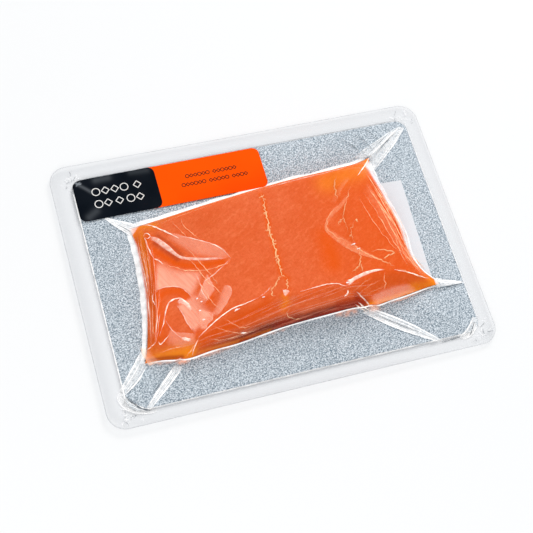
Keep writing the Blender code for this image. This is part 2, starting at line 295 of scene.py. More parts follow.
def nearest(x, y, path_x, path_y):
    """The distance from plan points to a path of straight pieces: the least of those to each
    piece, which are taken from the nearest place along it."""
    off_x = x[..., None] - path_x[:-1]
    off_y = y[..., None] - path_y[:-1]
    step_x, step_y = np.diff(path_x), np.diff(path_y)
    along = (off_x * step_x + off_y * step_y) / (step_x ** 2 + step_y ** 2)
    along = np.clip(along, 0.0, 1.0)
    return np.hypot(off_x - along * step_x, off_y - along * step_y).min(axis=-1)


def painted(x, y, strokes, surface):
    """How strongly strokes cover plan points: each is a curve through pixels, and across it
    its strength falls off as a bell of its own reach. The strongest counts."""
    cover = np.zeros(np.shape(x))
    for pixels, reach, strength in strokes:
        path = land(curve(pixels, 3 * len(pixels) + 1), surface)
        cover = np.maximum(cover, strength * bump(nearest(x, y, *path), 0.0, reach * MM))
    return cover


# ---- the fish's form

def slip_lift(x, y):
    """How much the slip raises what lies on it: full over it and an apron round it."""
    off_x = x - SLIP_MIDDLE[0]
    off_y = y - SLIP_MIDDLE[1]
    own_x = off_x * np.cos(SLIP_TURN) + off_y * np.sin(SLIP_TURN)
    own_y = off_y * np.cos(SLIP_TURN) - off_x * np.sin(SLIP_TURN)
    return SLIP_LIFT * (1.0 - ease(beyond(own_x, own_y, SLIP_HALF), *SLIP_FADE))


def pulled_in(share):
    """1 along the middle of a side and 0 at its two drawn-out ends."""
    return (1.0 - np.exp(-share / EAR)) * (1.0 - np.exp(-(1.0 - share) / EAR))


def front_side(u):
    """The fish's front edge: a straight line with a bulge at the root of each of its two
    pleats and one beyond each."""
    x, y = between(FRONT_LEFT, FRONT_RIGHT, u)
    bulge = sum(depth * bump(u, place, reach) for place, reach, depth in FRONT_BULGES)
    return x, y - bulge * pulled_in(u)


def back_side(u):
    """The fish's back edge: straight, and pulled in towards its right end."""
    x, y = between(BACK_LEFT, BACK_RIGHT, u)
    corner = 1.0 - np.exp(-(1.0 - u) / 0.03)
    return x, y - BACK_PULL * bump(u, 0.88, 0.19) * corner * ease(u, 0.0, 0.2)


def left_side(v):
    """The fish's left edge: pulled in as a flat arch, a little more near the front."""
    x, y = between(FRONT_LEFT, BACK_LEFT, v)
    arch = np.clip(np.sin(np.pi * v), 0.0, 1.0) ** 0.6
    return x + LEFT_PULL * arch * (1.0 - 0.2 * v), y


def right_side(v):
    """The fish's right edge: pulled in evenly, and tucked in before its long front ear."""
    x, y = between(FRONT_RIGHT, BACK_RIGHT, v)
    tuck = RIGHT_TUCK * bump(v, 0.2, 0.15) * ease(v, 0.0, 0.1)
    return x - RIGHT_PULL * pulled_in(v) - tuck, y


def fish_plan(u, v):
    """Plan points inside the fish's outline: its four sides carried across (a Coons patch)."""
    lines = zip(
        front_side(u), back_side(u), left_side(v), right_side(v),
        between(FRONT_LEFT, FRONT_RIGHT, u), between(BACK_LEFT, BACK_RIGHT, u))
    return [
        blend(front, back, v) + blend(left, right, u) - blend(low, high, v)
        for front, back, left, right, low, high in lines]


def fish_shares(x, y):
    """The shares (u, v) of plan points: Newton's method on the plan, kept near the fish."""
    step = 1e-4
    u = np.clip(x / FISH_LENGTH + 0.5, 0.0, 1.0)
    v = np.clip(y / FISH_WIDTH + 0.5, 0.0, 1.0)
    for _ in range(7):
        here = fish_plan(u, v)
        by_u = fish_plan(u + step, v)
        by_v = fish_plan(u, v + step)
        xu, yu = (by_u[0] - here[0]) / step, (by_u[1] - here[1]) / step
        xv, yv = (by_v[0] - here[0]) / step, (by_v[1] - here[1]) / step
        off_x, off_y = x - here[0], y - here[1]
        area = xu * yv - xv * yu
        u = np.clip(u + (off_x * yv - off_y * xv) / area, -0.06, 1.06)
        v = np.clip(v + (off_y * xu - off_x * yu) / area, -0.1, 1.1)
    return u, v


def side_rise(distance, width):
    """How a side face climbs from the fish's edge: 0 at the edge, 1 at the face's width."""
    left = 1.0 - np.clip(distance / width, 0.0, 1.0)
    return (1.0 - left ** SIDE_CURVE) ** (1.0 / SIDE_CURVE)


def soft_least(values):
    """The least of several values, rounded off where two are near each other."""
    return -RIDGE_SOFTNESS * np.log(sum(np.exp(-value / RIDGE_SOFTNESS) for value in values))


def fish_height(u, v, x, y):
    """The fish's height over its rim: a slab that thins to the left, with four side faces
    that meet in ridges like a hipped roof."""
    deep = apart(front_side(u), back_side(u))
    long = apart(left_side(v), right_side(v))
    faces = (
        side_rise(v * deep, np.interp(x, FRONT_FACE_X, FRONT_FACE_WIDTH)),
        side_rise((1.0 - v) * deep, BACK_FACE),
        side_rise(u * long, LEFT_FACE),
        side_rise((1.0 - u) * long, RIGHT_FACE),
    )
    level = soft_least(faces) / soft_least((1.0, 1.0, 1.0, 1.0))
    for corner, reach in EAR_REACH:
        level = level * (1.0 - np.exp(-(apart(corner, (x, y)) / reach) ** EAR_CURVE))
    slab = FISH_HEIGHT + FISH_CROWN * (1.0 - (y / CROWN_REACH) ** 2)
    slab = slab - THIN_END_DROP * ease(-x, *THIN_END) - THICK_END_DROP * ease(x, *THICK_END)
    return slab * np.clip(level, 0.0, None)


def fish_top(u, v):
    """The fish's upper surface: its form on the slip and the card, a little uneven."""
    x, y = fish_plan(u, v)
    height = fish_height(u, v, x, y)
    uneven = sum(rise * waves(x, y, length, seed) for rise, length, seed in FISH_WAVES)
    uneven = uneven * ease(height, 0.0, WAVES_FULL)
    return x, y, FLOOR + slip_lift(x, y) + FISH_RIM + height + uneven


def fish_near(x, y):
    """The fish's upper surface at plan points, held to its outline outside it."""
    u, v = fish_shares(x, y)
    return fish_top(np.clip(u, 0.0, 1.0), np.clip(v, 0.0, 1.0))


def fish_surface(x, y):
    """The height of the fish's upper surface at plan points."""
    return fish_near(x, y)[2]


# ---- the film's form

def pleat_lines():
    """Each pleat's root and end in plan."""
    for root, end in zip(PLEAT_ROOT, PLEAT_END):
        side = int(root)
        share = root - side
        u = (share, 1.0, 1.0 - share, 0.0)[side]
        v = (0.0, share, 1.0, 1.0 - share)[side]
        yield fish_plan(np.float64(u), np.float64(v)), card_edge(end)


PLEATS = tuple(zip(pleat_lines(), PLEAT_HEIGHT, PLEAT_FADE, PLEAT_WIDTH))


def flange_curl(x, y):
    """How far the flange has curled up: by the square of the share of its width, and three
    times as far along the front and left as along the back and right."""
    inner = np.maximum(off_card(x, y) - CARD_DROP, 0.0)
    outer = np.maximum(-beyond(x, y, PACK[1], PACK_CORNER), 0.0)
    share = inner / np.maximum(inner + outer, 1e-9)
    near = ease(0.5 - (x / PACK[1, 0] + y / PACK[1, 1]) / 2.0)
    return FLANGE_CURL * (1.0 + 2.0 * near) * share ** 2


def rim_share(points):
    """The film's own attribute: how much of its most the flange has curled up."""
    return {"rim": flange_curl(points[:, 0], points[:, 1]) / (3.0 * FLANGE_CURL)}


def corner_crinkle(x, y):
    """Fine creases in the flange's four corners: short waves under a mask that is 1 at a
    corner of the pack and gone a little further on."""
    inset = PACK[1] - CREASE_MIDDLE
    near = np.hypot(np.abs(x) - inset[0], np.abs(y) - inset[1])
    mask = (1.0 - ease(near, *CREASE_FADE)) * ease(off_card(x, y), 0.0, CREASE_START)
    return CREASE_HEIGHT * mask * waves(x, y, CREASE_LENGTH, 5)


def pleats(x, y):
    """The pleats' ridges: each sinks from its root to its end, is a bell across, and ends
    in half a bell behind its root."""
    rise = np.zeros(np.shape(x))
    for ((x0, y0), (x1, y1)), height, fade, width in PLEATS:
        long = np.hypot(x1 - x0, y1 - y0)
        along = ((x - x0) * (x1 - x0) + (y - y0) * (y1 - y0)) / long ** 2
        aside = ((y - y0) * (x1 - x0) - (x - x0) * (y1 - y0)) / long
        behind = bump(np.minimum(along, 0.0) * long, 0.0, PLEAT_BACK)
        body = (1.0 - np.clip(along, 0.0, 1.0)) ** fade * behind
        rise = np.maximum(rise, height * body * bump(aside, 0.0, width))
    return rise


def sheet_top(x, y):
    """The cover film's upper side off the fish: level on the card, down over its edge, and
    out over the flange, with the pleats and the corners' creases."""
    drop = ease(off_card(x, y), -CARD_ROUND, CARD_DROP + 2.0 * CARD_ROUND)
    level = blend(FLOOR + slip_lift(x, y), FLANGE_LEVEL, drop)
    return FILM + level + flange_curl(x, y) + pleats(x, y) + corner_crinkle(x, y)


def draped(x, y, high, off):
    """The cover film's upper side at a distance off the fish's rim, whose foot is rounded
    off: what it stands over the card falls off by powers of e."""
    flat = sheet_top(x, y)
    return flat + np.maximum(high - flat, 0.0) * np.exp(-off / FOOT_REACH)


def film_top(x, y):
    """The cover film's upper side anywhere: over the fish inside its outline, and draped
    over the card outside."""
    edge = fish_near(x, y)
    off = apart(edge, (x, y))
    high = edge[2] + FILM + FILM_LIFT
    return np.where(off > 1e-6, draped(x, y, high, off), high)


# ---- meshes

def cells(rows, columns, wrap=False):
    """The corner numbers of a grid's cells, anticlockwise from above when columns run to
    +X and rows to +Y. Wrapped, the last column is joined to the first."""
    index = np.arange(rows * columns).reshape(rows, columns)
    if wrap:
        index = np.concatenate([index, index[:, :1]], axis=1)
    corners = (index[:-1, :-1], index[:-1, 1:], index[1:, 1:], index[1:, :-1])
    return np.stack(corners, axis=-1).reshape(-1, 4)


def rim_of(rows, columns):
    """The numbers of a grid's edge points, anticlockwise from its first."""
    index = np.arange(rows * columns).reshape(rows, columns)
    return np.concatenate([index[0, :-1], index[:-1, -1], index[-1, :0:-1], index[:0:-1, 0]])


def ring_cells(index):
    """The faces between rings of points, whose numbers are rows from the inside out."""
    after = np.roll(index, -1, axis=1)
    return np.stack([index[:-1], index[1:], after[1:], after[:-1]], axis=-1).reshape(-1, 4)


def strips(count):
    """Faces that close a ring of the first count points, in strips across it."""
    left = np.arange(count // 2)
    right = count - 1 - left
    return np.stack([left[:-1], left[1:], right[1:], right[:-1]], axis=-1)


def closed(upper, lower, faces, rim):
    """One closed skin from an upper and a lower sheet of points, walled along the rim."""
    count = len(upper)
    after = np.roll(rim, -1)
    walls = np.stack([rim + count, after + count, after, rim], axis=-1)
    return np.vstack([upper, lower]), np.vstack([faces, faces[:, ::-1] + count, walls])


def stack(x, y, z):
    """Three arrays as rows of points."""
    return np.column_stack([np.ravel(x), np.ravel(y), np.ravel(z)])


def placed(name, data):
    """An object of the scene."""
    result = bpy.data.objects.new(name, data)
    bpy.context.scene.collection.objects.link(result)
    return result


def piece(name, points, faces, finish, slot, replaced=None, attributes=None, sharp=None):
    """A mesh object of four-cornered faces that rides on the pack."""
    mesh = bpy.data.meshes.new(name)
    mesh.vertices.add(len(points))
    mesh.vertices.foreach_set("co", np.ascontiguousarray(points, dtype=np.float32).ravel())
    mesh.loops.add(faces.size)
    mesh.loops.foreach_set("vertex_index", faces.ravel().astype(np.int32))
    mesh.polygons.add(len(faces))
    mesh.polygons.foreach_set("loop_start", np.arange(0, faces.size, 4, dtype=np.int32))
    mesh.update(calc_edges=True)
    mesh.shade_smooth()
    if sharp is not None:
        mesh.set_sharp_from_angle(angle=np.radians(sharp))
    for label, values in (attributes or {}).items():
        layer = mesh.attributes.new(label, "FLOAT", "POINT")
        layer.data.foreach_set("value", np.ascontiguousarray(values, dtype=np.float32).ravel())
    mesh.materials.append(finish)
    result = placed(name, mesh)
    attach(result, "root")
    if replaced:
        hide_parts(replaced)
    return result


def assembled(name, bodies, finish, slot):
    """One piece of several bodies: each has its points, its faces and its strengths."""
    points, faces, strengths = zip(*bodies)
    starts = np.cumsum([0] + [len(body) for body in points])
    faces = [body + start for body, start in zip(faces, starts)]
    looks = {"strength": np.concatenate(strengths)}
    return piece(name, np.vstack(points), np.vstack(faces), finish, slot, attributes=looks)


def ridge(x, y, half, strength, surface, relief):
    """A slender closed body along a plan path on a surface: across it is an ellipse, whose
    upper half rises and whose lower half reaches down by the keel. The relief is its lift,
    its rise and its keel in millimetres."""
    lift, rise, keel = np.array(relief) * MM
    angle = np.linspace(0.0, 2.0 * np.pi, 8, endpoint=False)
    run_x, run_y = np.gradient(x), np.gradient(y)
    long = np.hypot(run_x, run_y) + 1e-12
    side = half[:, None] * np.cos(angle)
    grid_x = x[:, None] + (run_y / long)[:, None] * side
    grid_y = y[:, None] - (run_x / long)[:, None] * side
    share = (half / half.max())[:, None]
    up = np.where(np.sin(angle) > 0.0, rise * share, keel) * np.sin(angle)
    grid_z = surface(grid_x.ravel(), grid_y.ravel()).reshape(grid_x.shape) + lift + up
    last = 8 * (len(x) - 1)
    cap = np.array(((0, 3, 2, 1), (0, 7, 4, 3), (7, 6, 5, 4)))
    faces = np.vstack([cells(len(x), 8, wrap=True), cap, last + cap[:, ::-1]])
    return stack(grid_x, grid_y, grid_z), faces, np.repeat(strength, 8)


def patch(x, y, strength, surface, relief):
    """A thin closed body over a grid of plan points: from a lift above a surface to a keel
    below it. The relief is its lift and its keel in millimetres."""
    lift, keel = np.array(relief) * MM
    z = surface(x.ravel(), y.ravel()).reshape(x.shape)
    upper, lower = stack(x, y, z + lift), stack(x, y, z - keel)
    faces, rim = cells(*x.shape), rim_of(*x.shape)
    if np.cross(upper[1] - upper[0], upper[x.shape[1]] - upper[0])[2] < 0.0:
        faces, rim = faces[:, ::-1], rim[::-1]
    return *closed(upper, lower, faces, rim), np.tile(strength.ravel(), 2)


# ---- materials

def tone(red, green, blue):
    """A picture's colour, 0 to 255, as the linear colour that a shader takes."""
    values = np.array((red, green, blue)) / 255.0
    linear = np.where(values < 0.04045, values / 12.92, ((values + 0.055) / 1.055) ** 2.4)
    return (*linear.tolist(), 1.0)


# Colours of the flesh, the silver card, the film, the print and the floor.
FLESH = tone(229, 99, 48)
FLESH_PALE = tone(235, 108, 60)
FLESH_DEEP = tone(235, 88, 8)
FLESH_FIBRE = tone(248, 134, 84)
FLESH_DARK = tone(218, 80, 30)
# Dark front low on the fish: partly its own darker flesh, partly painted shade.
FLESH_BROWN_AND_SHADE = tone(122, 50, 36)
FLESH_STREAK = tone(214, 124, 98)
FLESH_AMBER = tone(255, 142, 26)
FLESH_SHADE = tone(160, 40, 14)
SILVER_DARK = tone(92, 110, 124)
SILVER_PALE = tone(238, 245, 250)
SILVER_MEAN = tone(174, 186, 195)
PAPER_DARK = tone(226, 229, 233)
PAPER_PALE = tone(235, 237, 240)
FAT_DARK = tone(255, 172, 106)
FAT_PALE = tone(255, 216, 164)
FILM_MIRROR = tone(250, 251, 253)
# The colour of painted highlights on the film's folds and edges.
FILM_HIGHLIGHT = tone(252, 251, 250)
FILM_CLEAR = (0.985, 0.986, 0.988, 1.0)
FILM_GREY = (0.90, 0.905, 0.91, 1.0)
CLEAR = (1.0, 1.0, 1.0, 1.0)
FILM_SHEEN = 0.04
# A painted sheen on the black label.
PRINT_SHEEN = tone(150, 156, 162)
FLOOR_PALE = (0.865, 0.865, 0.865, 1.0)
SKY = (0.96, 0.98, 1.0, 1.0)
# How the flesh's fibres, the front's streaks, the card's grain and the film's strands run.
FIBRE_TURN, FRONT_TURN, CARD_TURN, STRAND_TURN = np.radians((33.0, 2.4, 20.0, -65.0))


class Value:
    """A value in a material: arithmetic on it adds Math nodes."""

    def __init__(self, finish, socket):
        self.finish = finish
        self.socket = socket

    def math(self, operation, first, second):
        """The Math node of an operation on two values."""
        return self.finish.node("ShaderNodeMath", {"operation": operation}, {0: first, 1: second})

    def __add__(self, other):
        return self.math("ADD", self, other)

    def __sub__(self, other):
        return self.math("SUBTRACT", self, other)

    def __rsub__(self, other):
        return self.math("SUBTRACT", other, self)

    def __mul__(self, other):
        return self.math("MULTIPLY", self, other)

    def __pow__(self, other):
        return self.math("POWER", self, other)

    __radd__ = __add__
    __rmul__ = __mul__

    def held(self):
        """The value held between 0 and 1."""
        return self.math("MINIMUM", self.math("MAXIMUM", self, 0.0), 1.0)

    def ease(self, low, high):
        """A smooth step from 0 at low to 1 at high."""
        settings = {"interpolation_type": "SMOOTHSTEP"}
        return self.finish.node("ShaderNodeMapRange", settings, {0: self, 1: low, 2: high})


class Finish:
    """A material in the making, and the one method that adds its nodes."""

    def __init__(self, name):
        self.material = bpy.data.materials.new(name)
        self.material.use_nodes = True
        self.tree = self.material.node_tree
        self.tree.nodes.clear()
        self.place = self.node("ShaderNodeTexCoord", output="Object")

    def node(self, kind, settings=None, inputs=None, output=0):
        """A node of a kind: its settings go in first, then its sockets' values or links."""
        made = self.tree.nodes.new(kind)
        for label, setting in (settings or {}).items():
            setattr(made, label, setting)
        for label, value in (inputs or {}).items():
            if isinstance(value, Value):
                self.tree.links.new(value.socket, made.inputs[label])
            else:
                made.inputs[label].default_value = value
        return Value(self, made.outputs[output]) if made.outputs else made

    def noise(self, scale, detail=2.0, roughness=0.5, drawn=(1.0, 1.0), turn=0.0):
        """Noise of so many cells a metre, drawn out along and across a direction."""
        vector = self.node("ShaderNodeMapping", {"vector_type": "TEXTURE"}, {
            "Vector": self.place, "Rotation": (0.0, 0.0, turn), "Scale": (*drawn, 1.0)})
        return self.node("ShaderNodeTexNoise", {}, {
            "Vector": vector, "Scale": scale, "Detail": detail, "Roughness": roughness})

    def attribute(self, name):
        """The piece's own attribute of that name."""
        return self.node("ShaderNodeAttribute", {"attribute_name": name}, output="Fac")

    def slant(self):
        """0 where the surface faces the eye, and 1 where it is seen along itself."""
        return self.node("ShaderNodeLayerWeight", {}, {"Blend": 0.5}, output="Facing")

    def mix(self, share, first, second):
        """A colour between two, by a share."""
        colours = {0: share, 6: first, 7: second}
        return self.node("ShaderNodeMix", {"data_type": "RGBA"}, colours, output=2)

    def relief(self, height, depth, strength=1.0):
        """A Bump node: a height between 0 and 1, so many metres deep."""
        sockets = {"Height": height, "Distance": depth, "Strength": strength}
        return self.node("ShaderNodeBump", {}, sockets)

    def passing(self, colour):
        """A shader that lets light through, tinted."""
        return self.node("ShaderNodeBsdfTransparent", {}, {"Color": colour})

    def layered(self, share, first, second):
        """A shader between two, by a share."""
        return self.node("ShaderNodeMixShader", {}, {0: share, 1: first, 2: second})

    def principled(self, **sockets):
        """The Principled shader. A socket's name is written with _ for a space."""
        sockets = {label.replace("_", " "): value for label, value in sockets.items()}
        return self.node("ShaderNodeBsdfPrincipled", {}, sockets)

    def close(self, shader):
        """Ends the material with its surface shader."""
        self.node("ShaderNodeOutputMaterial", {}, {"Surface": shader})
        return self.material


def flesh_finish():
    """Moist orange flesh: two mottled tones, fine fibres that run askew, and by the fish's
    own attributes deeper orange, amber where it is thin, a brownish front that darkens downwards,
    partly its own darker flesh and partly painted shade, and painted shade in folds."""
    finish = Finish("salmon_flesh_look")
    blotch = finish.noise(60.0, 3.0, 0.6)
    grain = finish.noise(760.0, 3.0, 0.65)
    fibre = finish.noise(380.0, 3.0, 0.6, (2.0, 0.8), FIBRE_TURN)
    streak = finish.noise(480.0, 3.0, 0.6, (12.0, 1.0), FRONT_TURN)
    deep = finish.attribute("deep")
    # Low on the front: darker flesh and painted shade together.
    brown_and_shade = finish.attribute("brown_and_shade")
    colour = finish.mix(blotch.ease(0.3, 0.7), FLESH, FLESH_PALE)
    for share, layer in (
            (fibre.ease(0.46, 0.72) * (0.4 + deep * 0.6), FLESH_FIBRE),
            (grain.ease(0.42, 0.7) * (0.45 + deep * 0.4), FLESH_DARK),
            (deep * (0.8 + blotch * 0.4), FLESH_DEEP),
            (brown_and_shade * (0.7 + fibre * 0.8), FLESH_BROWN_AND_SHADE),
            (brown_and_shade * streak.ease(0.5, 0.66) * 0.75, FLESH_STREAK),
            (finish.attribute("amber") * (0.75 + fibre * 0.5), FLESH_AMBER),
            (finish.attribute("shade"), FLESH_SHADE)):
        colour = finish.mix(share, colour, layer)
    normal = finish.relief(grain * 0.6 + fibre * 0.4, 0.25 * MM, 0.5)
    return finish.close(finish.principled(
        Base_Color=colour, Roughness=0.42 + grain * 0.2, Normal=normal,
        Specular_IOR_Level=0.06, Subsurface_Weight=0.08, Subsurface_Scale=0.003,
        Subsurface_Radius=(1.0, 0.35, 0.2)))


def sheet_finish():
    """Clear film: it mirrors the room a little, more at a slant, and the rest passes. Where
    the flange has curled up, less of the slanting light does."""
    finish = Finish("clear_film_look")
    grain = finish.noise(700.0)
    wave = finish.noise(90.0)
    slant = finish.slant()
    dimmed = finish.attribute("rim") * slant.ease(0.15, 0.5)
    normal = finish.relief(wave * 0.8 + grain * 0.2, 0.2 * MM, 0.3)
    mirror = finish.principled(
        Base_Color=FILM_MIRROR, Metallic=1.0, Roughness=0.1 + grain * 0.06, Normal=normal)
    passing = finish.layered(dimmed, finish.passing(FILM_CLEAR), finish.passing(FILM_GREY))
    return finish.close(finish.layered(slant ** 3.0 * FILM_SHEEN, passing, mirror))


def tint_and_glow_finish(name, colour, unevenness, glow, drawn=(1.0, 1.0), turn=0.0, slanted=False):
    """Film that is folded or stands off, or juice, tinted by its own strength and unevenly: pale
    tints are painted highlights and reflections, a dark one painted shade, and juice keeps its own
    tint. Each glows with its colour, painted light in place of the room's light that it passes on.
    Its strands can be drawn out, and it can be pale only where it is seen at a slant."""
    finish = Finish(name)
    grain = finish.noise(900.0)
    wave = finish.noise(420.0, 2.0, 0.5, drawn, turn)
    cover = 1.0 - unevenness + wave.ease(0.3, 0.7) * 2.0 * unevenness
    cover = finish.attribute("strength") * cover
    if slanted:
        cover = cover * finish.slant().ease(0.25, 0.75)
    normal = finish.relief(wave * 0.7 + grain * 0.3, 0.1 * MM, 0.3)
    # The emission is a painted glow: the body gives off light though it is no lamp.
    body = finish.principled(
        Base_Color=colour, Roughness=0.25 + grain * 0.1, Normal=normal, Specular_IOR_Level=0.6,
        Emission_Color=colour, Emission_Strength=glow)
    return finish.close(finish.layered(cover.held(), finish.passing(CLEAR), body))


def silver_finish():
    """Silver foil board: a fine sparkling grain of pale and blue-grey flecks."""
    finish = Finish("silver_foil_look")
    fine = finish.noise(2300.0, 1.0, 0.6)
    coarse = finish.noise(1300.0, 1.0, 0.6, (1.25, 0.8), CARD_TURN)
    grain = fine * 0.5 + coarse * 0.5
    fleck = grain.ease(0.4, 0.6)
    colour = finish.mix(fleck, SILVER_DARK, SILVER_PALE)
    colour = finish.mix(finish.noise(60.0) * 0.3, colour, SILVER_MEAN)
    return finish.close(finish.principled(
        Base_Color=colour, Metallic=0.05, Roughness=0.6 + fleck * 0.1, Specular_IOR_Level=0.2,
        Normal=finish.relief(grain, 0.5 * MM, 0.5)))


def paper_finish():
    """Matt white paper with a faint tooth."""
    finish = Finish("white_paper_look")
    tooth = finish.noise(900.0, 3.0)
    return finish.close(finish.principled(
        Base_Color=finish.mix(tooth, PAPER_DARK, PAPER_PALE), Roughness=0.75,
        Normal=finish.relief(tooth, 0.05 * MM, 0.4)))


def print_finish(name, dark, pale, roughness):
    """A printed label: one ink, a little uneven, with a satin skin, and paler where its sheen attribute
    paints a highlight.
    """
    finish = Finish(name)
    tooth = finish.noise(1200.0)
    colour = finish.mix(finish.noise(45.0, 3.0).ease(0.3, 0.75), dark, pale)
    return finish.close(finish.principled(
        Base_Color=finish.mix(finish.attribute("sheen"), colour, PRINT_SHEEN),
        Roughness=roughness + tooth * 0.1, Specular_IOR_Level=0.02,
        Normal=finish.relief(tooth, 0.03 * MM, 0.4)))


def fat_finish():
    """Pale fat in the flesh's seam and veins: the weaker, the nearer to the flesh's colour."""
    finish = Finish("salmon_fat_look")
    grain = finish.noise(500.0, 3.0)
    share = (finish.attribute("strength") * (0.5 + grain)).held()
    colour = finish.mix(share, FLESH_PALE, finish.mix(grain, FAT_DARK, FAT_PALE))
    return finish.close(finish.principled(
        Base_Color=colour, Roughness=0.4, Specular_IOR_Level=0.2,
        Normal=finish.relief(grain, 0.1 * MM, 0.4)))


# ---- places in the photograph

# Strokes are curves through pixels (x, y, x, y and so on), each with its width or reach in
# millimetres and its strength. First the fat seam's course, and where the flesh is deeper
# orange, amber or in the shade of a fold: with the reach.
SEAM = (
    260, 194, 263, 199, 264, 207, 265.5, 213, 267.6, 222, 268.5, 230, 271, 237, 273.4, 244, 276, 254,
    278.5, 262, 280, 270, 282, 274.5, 287, 278)
DEEP = (
    (SEAM, 1.6, 0.9),
    ((326, 236, 329, 248, 333, 262), 8.0, 0.85),
    ((357, 198, 358, 214, 352, 228), 7.0, 0.55),
    ((364, 240, 384, 240, 396, 254), 6.0, 0.45),
    ((384, 262, 366, 266, 350, 270), 4.0, 0.5),
    ((154, 250, 165, 257, 180, 264, 200, 265, 222, 261), 2.6, 0.9),
    ((156, 303, 160, 296, 168, 291, 180, 291, 187, 298), 2.8, 0.8),
    ((208, 290, 211, 297, 206, 303), 1.6, 0.7),
    ((204, 340, 222, 329, 244, 316, 270, 304), 4.5, 0.8),
    ((362, 290, 366, 280, 378, 274), 4.0, 0.6),
    ((300, 298, 320, 293, 338, 290), 3.0, 0.45),
    ((287, 290, 286, 298, 284, 306), 2.4, 0.6),
    ((142, 242, 149, 270, 154, 300, 158, 335), 6.0, 0.75),
)
AMBER = (
    ((326, 182, 342, 174, 358, 170, 368, 162), 7.0, 0.5),
    ((371, 168, 367, 164, 367, 158), 2.5, 0.8),
    ((132, 230, 140, 226, 152, 225), 3.5, 0.7),
    ((140, 232, 143, 252, 147, 272), 2.0, 0.5),
    ((148, 362, 162, 358, 178, 354, 190, 351), 4.0, 0.9),
    ((176, 352, 184, 350, 191, 348), 3.0, 0.5),
    ((192, 354, 210, 348.5, 228, 343.5, 246, 338, 270, 330), 0.7, 0.4),
    ((412, 287, 422, 285, 434, 283), 2.5, 0.6),
    ((366, 305, 390, 298, 420, 288), 1.0, 0.9),
    ((284, 296, 286, 301, 283, 306), 2.0, 0.5),
)
SHADE = (
    ((154, 243, 166, 251, 177, 259), 1.5, 0.5),
    ((157, 235, 166, 241, 174, 248, 182, 255), 1.0, 0.45),
    ((356, 297, 360, 301, 364, 305), 2.2, 0.8),
    ((338, 305, 348, 302, 357, 303), 2.0, 0.55),
    ((240, 341, 268, 333, 290, 325.5, 312, 318.5, 343, 308), 0.9, 0.7),
    ((148, 360, 164, 357.5, 182, 356.5), 1.0, 0.7),
    ((277, 324, 286, 320, 296, 316), 2.2, 0.4),
)
# Folds of the film over the fish, pale with painted highlight, then thin ones through which its
# orange shows and whose highlight is painted warm: widths.
FOLDS = (
    ((139, 224, 150, 225, 158, 228, 169, 233, 179, 238), 0.9, 0.85),
    ((179, 236, 188, 237, 200, 240, 212, 243.5, 222, 249, 230, 257), 0.5, 0.55),
    ((230, 258, 222, 266, 212, 275, 205, 280, 202, 285), 0.5, 0.4),
    ((143, 236, 144.5, 233, 148, 233.5, 149.5, 236, 147, 238, 144, 237), 0.5, 0.75),
    ((144, 237, 148, 248, 153, 258), 0.8, 0.6),
    ((153, 258, 158, 260, 163, 264), 0.8, 0.5),
    ((195, 272, 200, 284, 202, 292, 209, 301), 0.6, 0.4),
    ((153, 292, 152, 299, 155, 305), 0.6, 0.6),
    ((154, 293, 160, 288, 170, 286, 180, 287, 188, 293, 193, 300), 0.5, 0.35),
    ((159, 335, 163, 323, 165, 312, 168, 303, 173, 299, 180, 298, 187, 303, 192, 309), 0.9, 0.6),
    ((176, 305, 182, 313, 187, 323, 195, 333), 0.6, 0.35),
    ((164, 318, 172, 330, 183, 339), 0.4, 0.4),
    ((198, 337, 208, 327, 218, 318, 232, 308, 245, 303, 258, 297), 0.7, 1.0),
    ((258, 297, 266, 291, 271, 285), 0.4, 0.35),
    ((234, 311, 237, 308), 0.8, 0.9),
    ((198, 338, 194, 347, 191.5, 355), 0.6, 0.6),
    ((158, 341, 160, 344, 164, 340, 169, 334), 0.6, 0.8),
    ((137, 236, 140, 256, 144, 274, 147, 292, 149, 318, 150, 338), 0.5, 0.5),
    ((142, 256, 146, 268, 148, 282, 149, 300), 0.35, 0.4),
    ((157, 307, 157, 318, 155.5, 330, 156, 341), 0.45, 0.6),
    ((160, 311, 158, 323, 157, 337), 0.35, 0.45),
    ((146, 350, 151, 346, 156, 341), 0.6, 0.6),
    ((394, 269, 407, 271.5, 418, 275, 428, 278), 0.6, 0.85),
    ((300, 291, 314, 287, 325, 284, 336, 283, 347, 286), 0.5, 0.75),
    ((347.5, 289, 347, 293, 344, 296), 0.9, 0.95),
    ((356, 291, 364, 299, 370, 306), 0.6, 0.5),
    ((358, 302, 364, 307, 369, 310), 0.5, 0.85),
    ((355, 304, 361, 308, 366, 311), 0.4, 0.6),
    ((240, 333, 247, 332), 0.7, 0.6),
    ((370, 155, 364, 165.5, 357, 175), 0.9, 0.9),
    ((369, 166, 371.5, 169, 372.5, 174), 0.6, 0.7),
    ((268, 187, 284, 182.5, 301, 178, 330, 171, 352, 165), 0.5, 0.4),
)
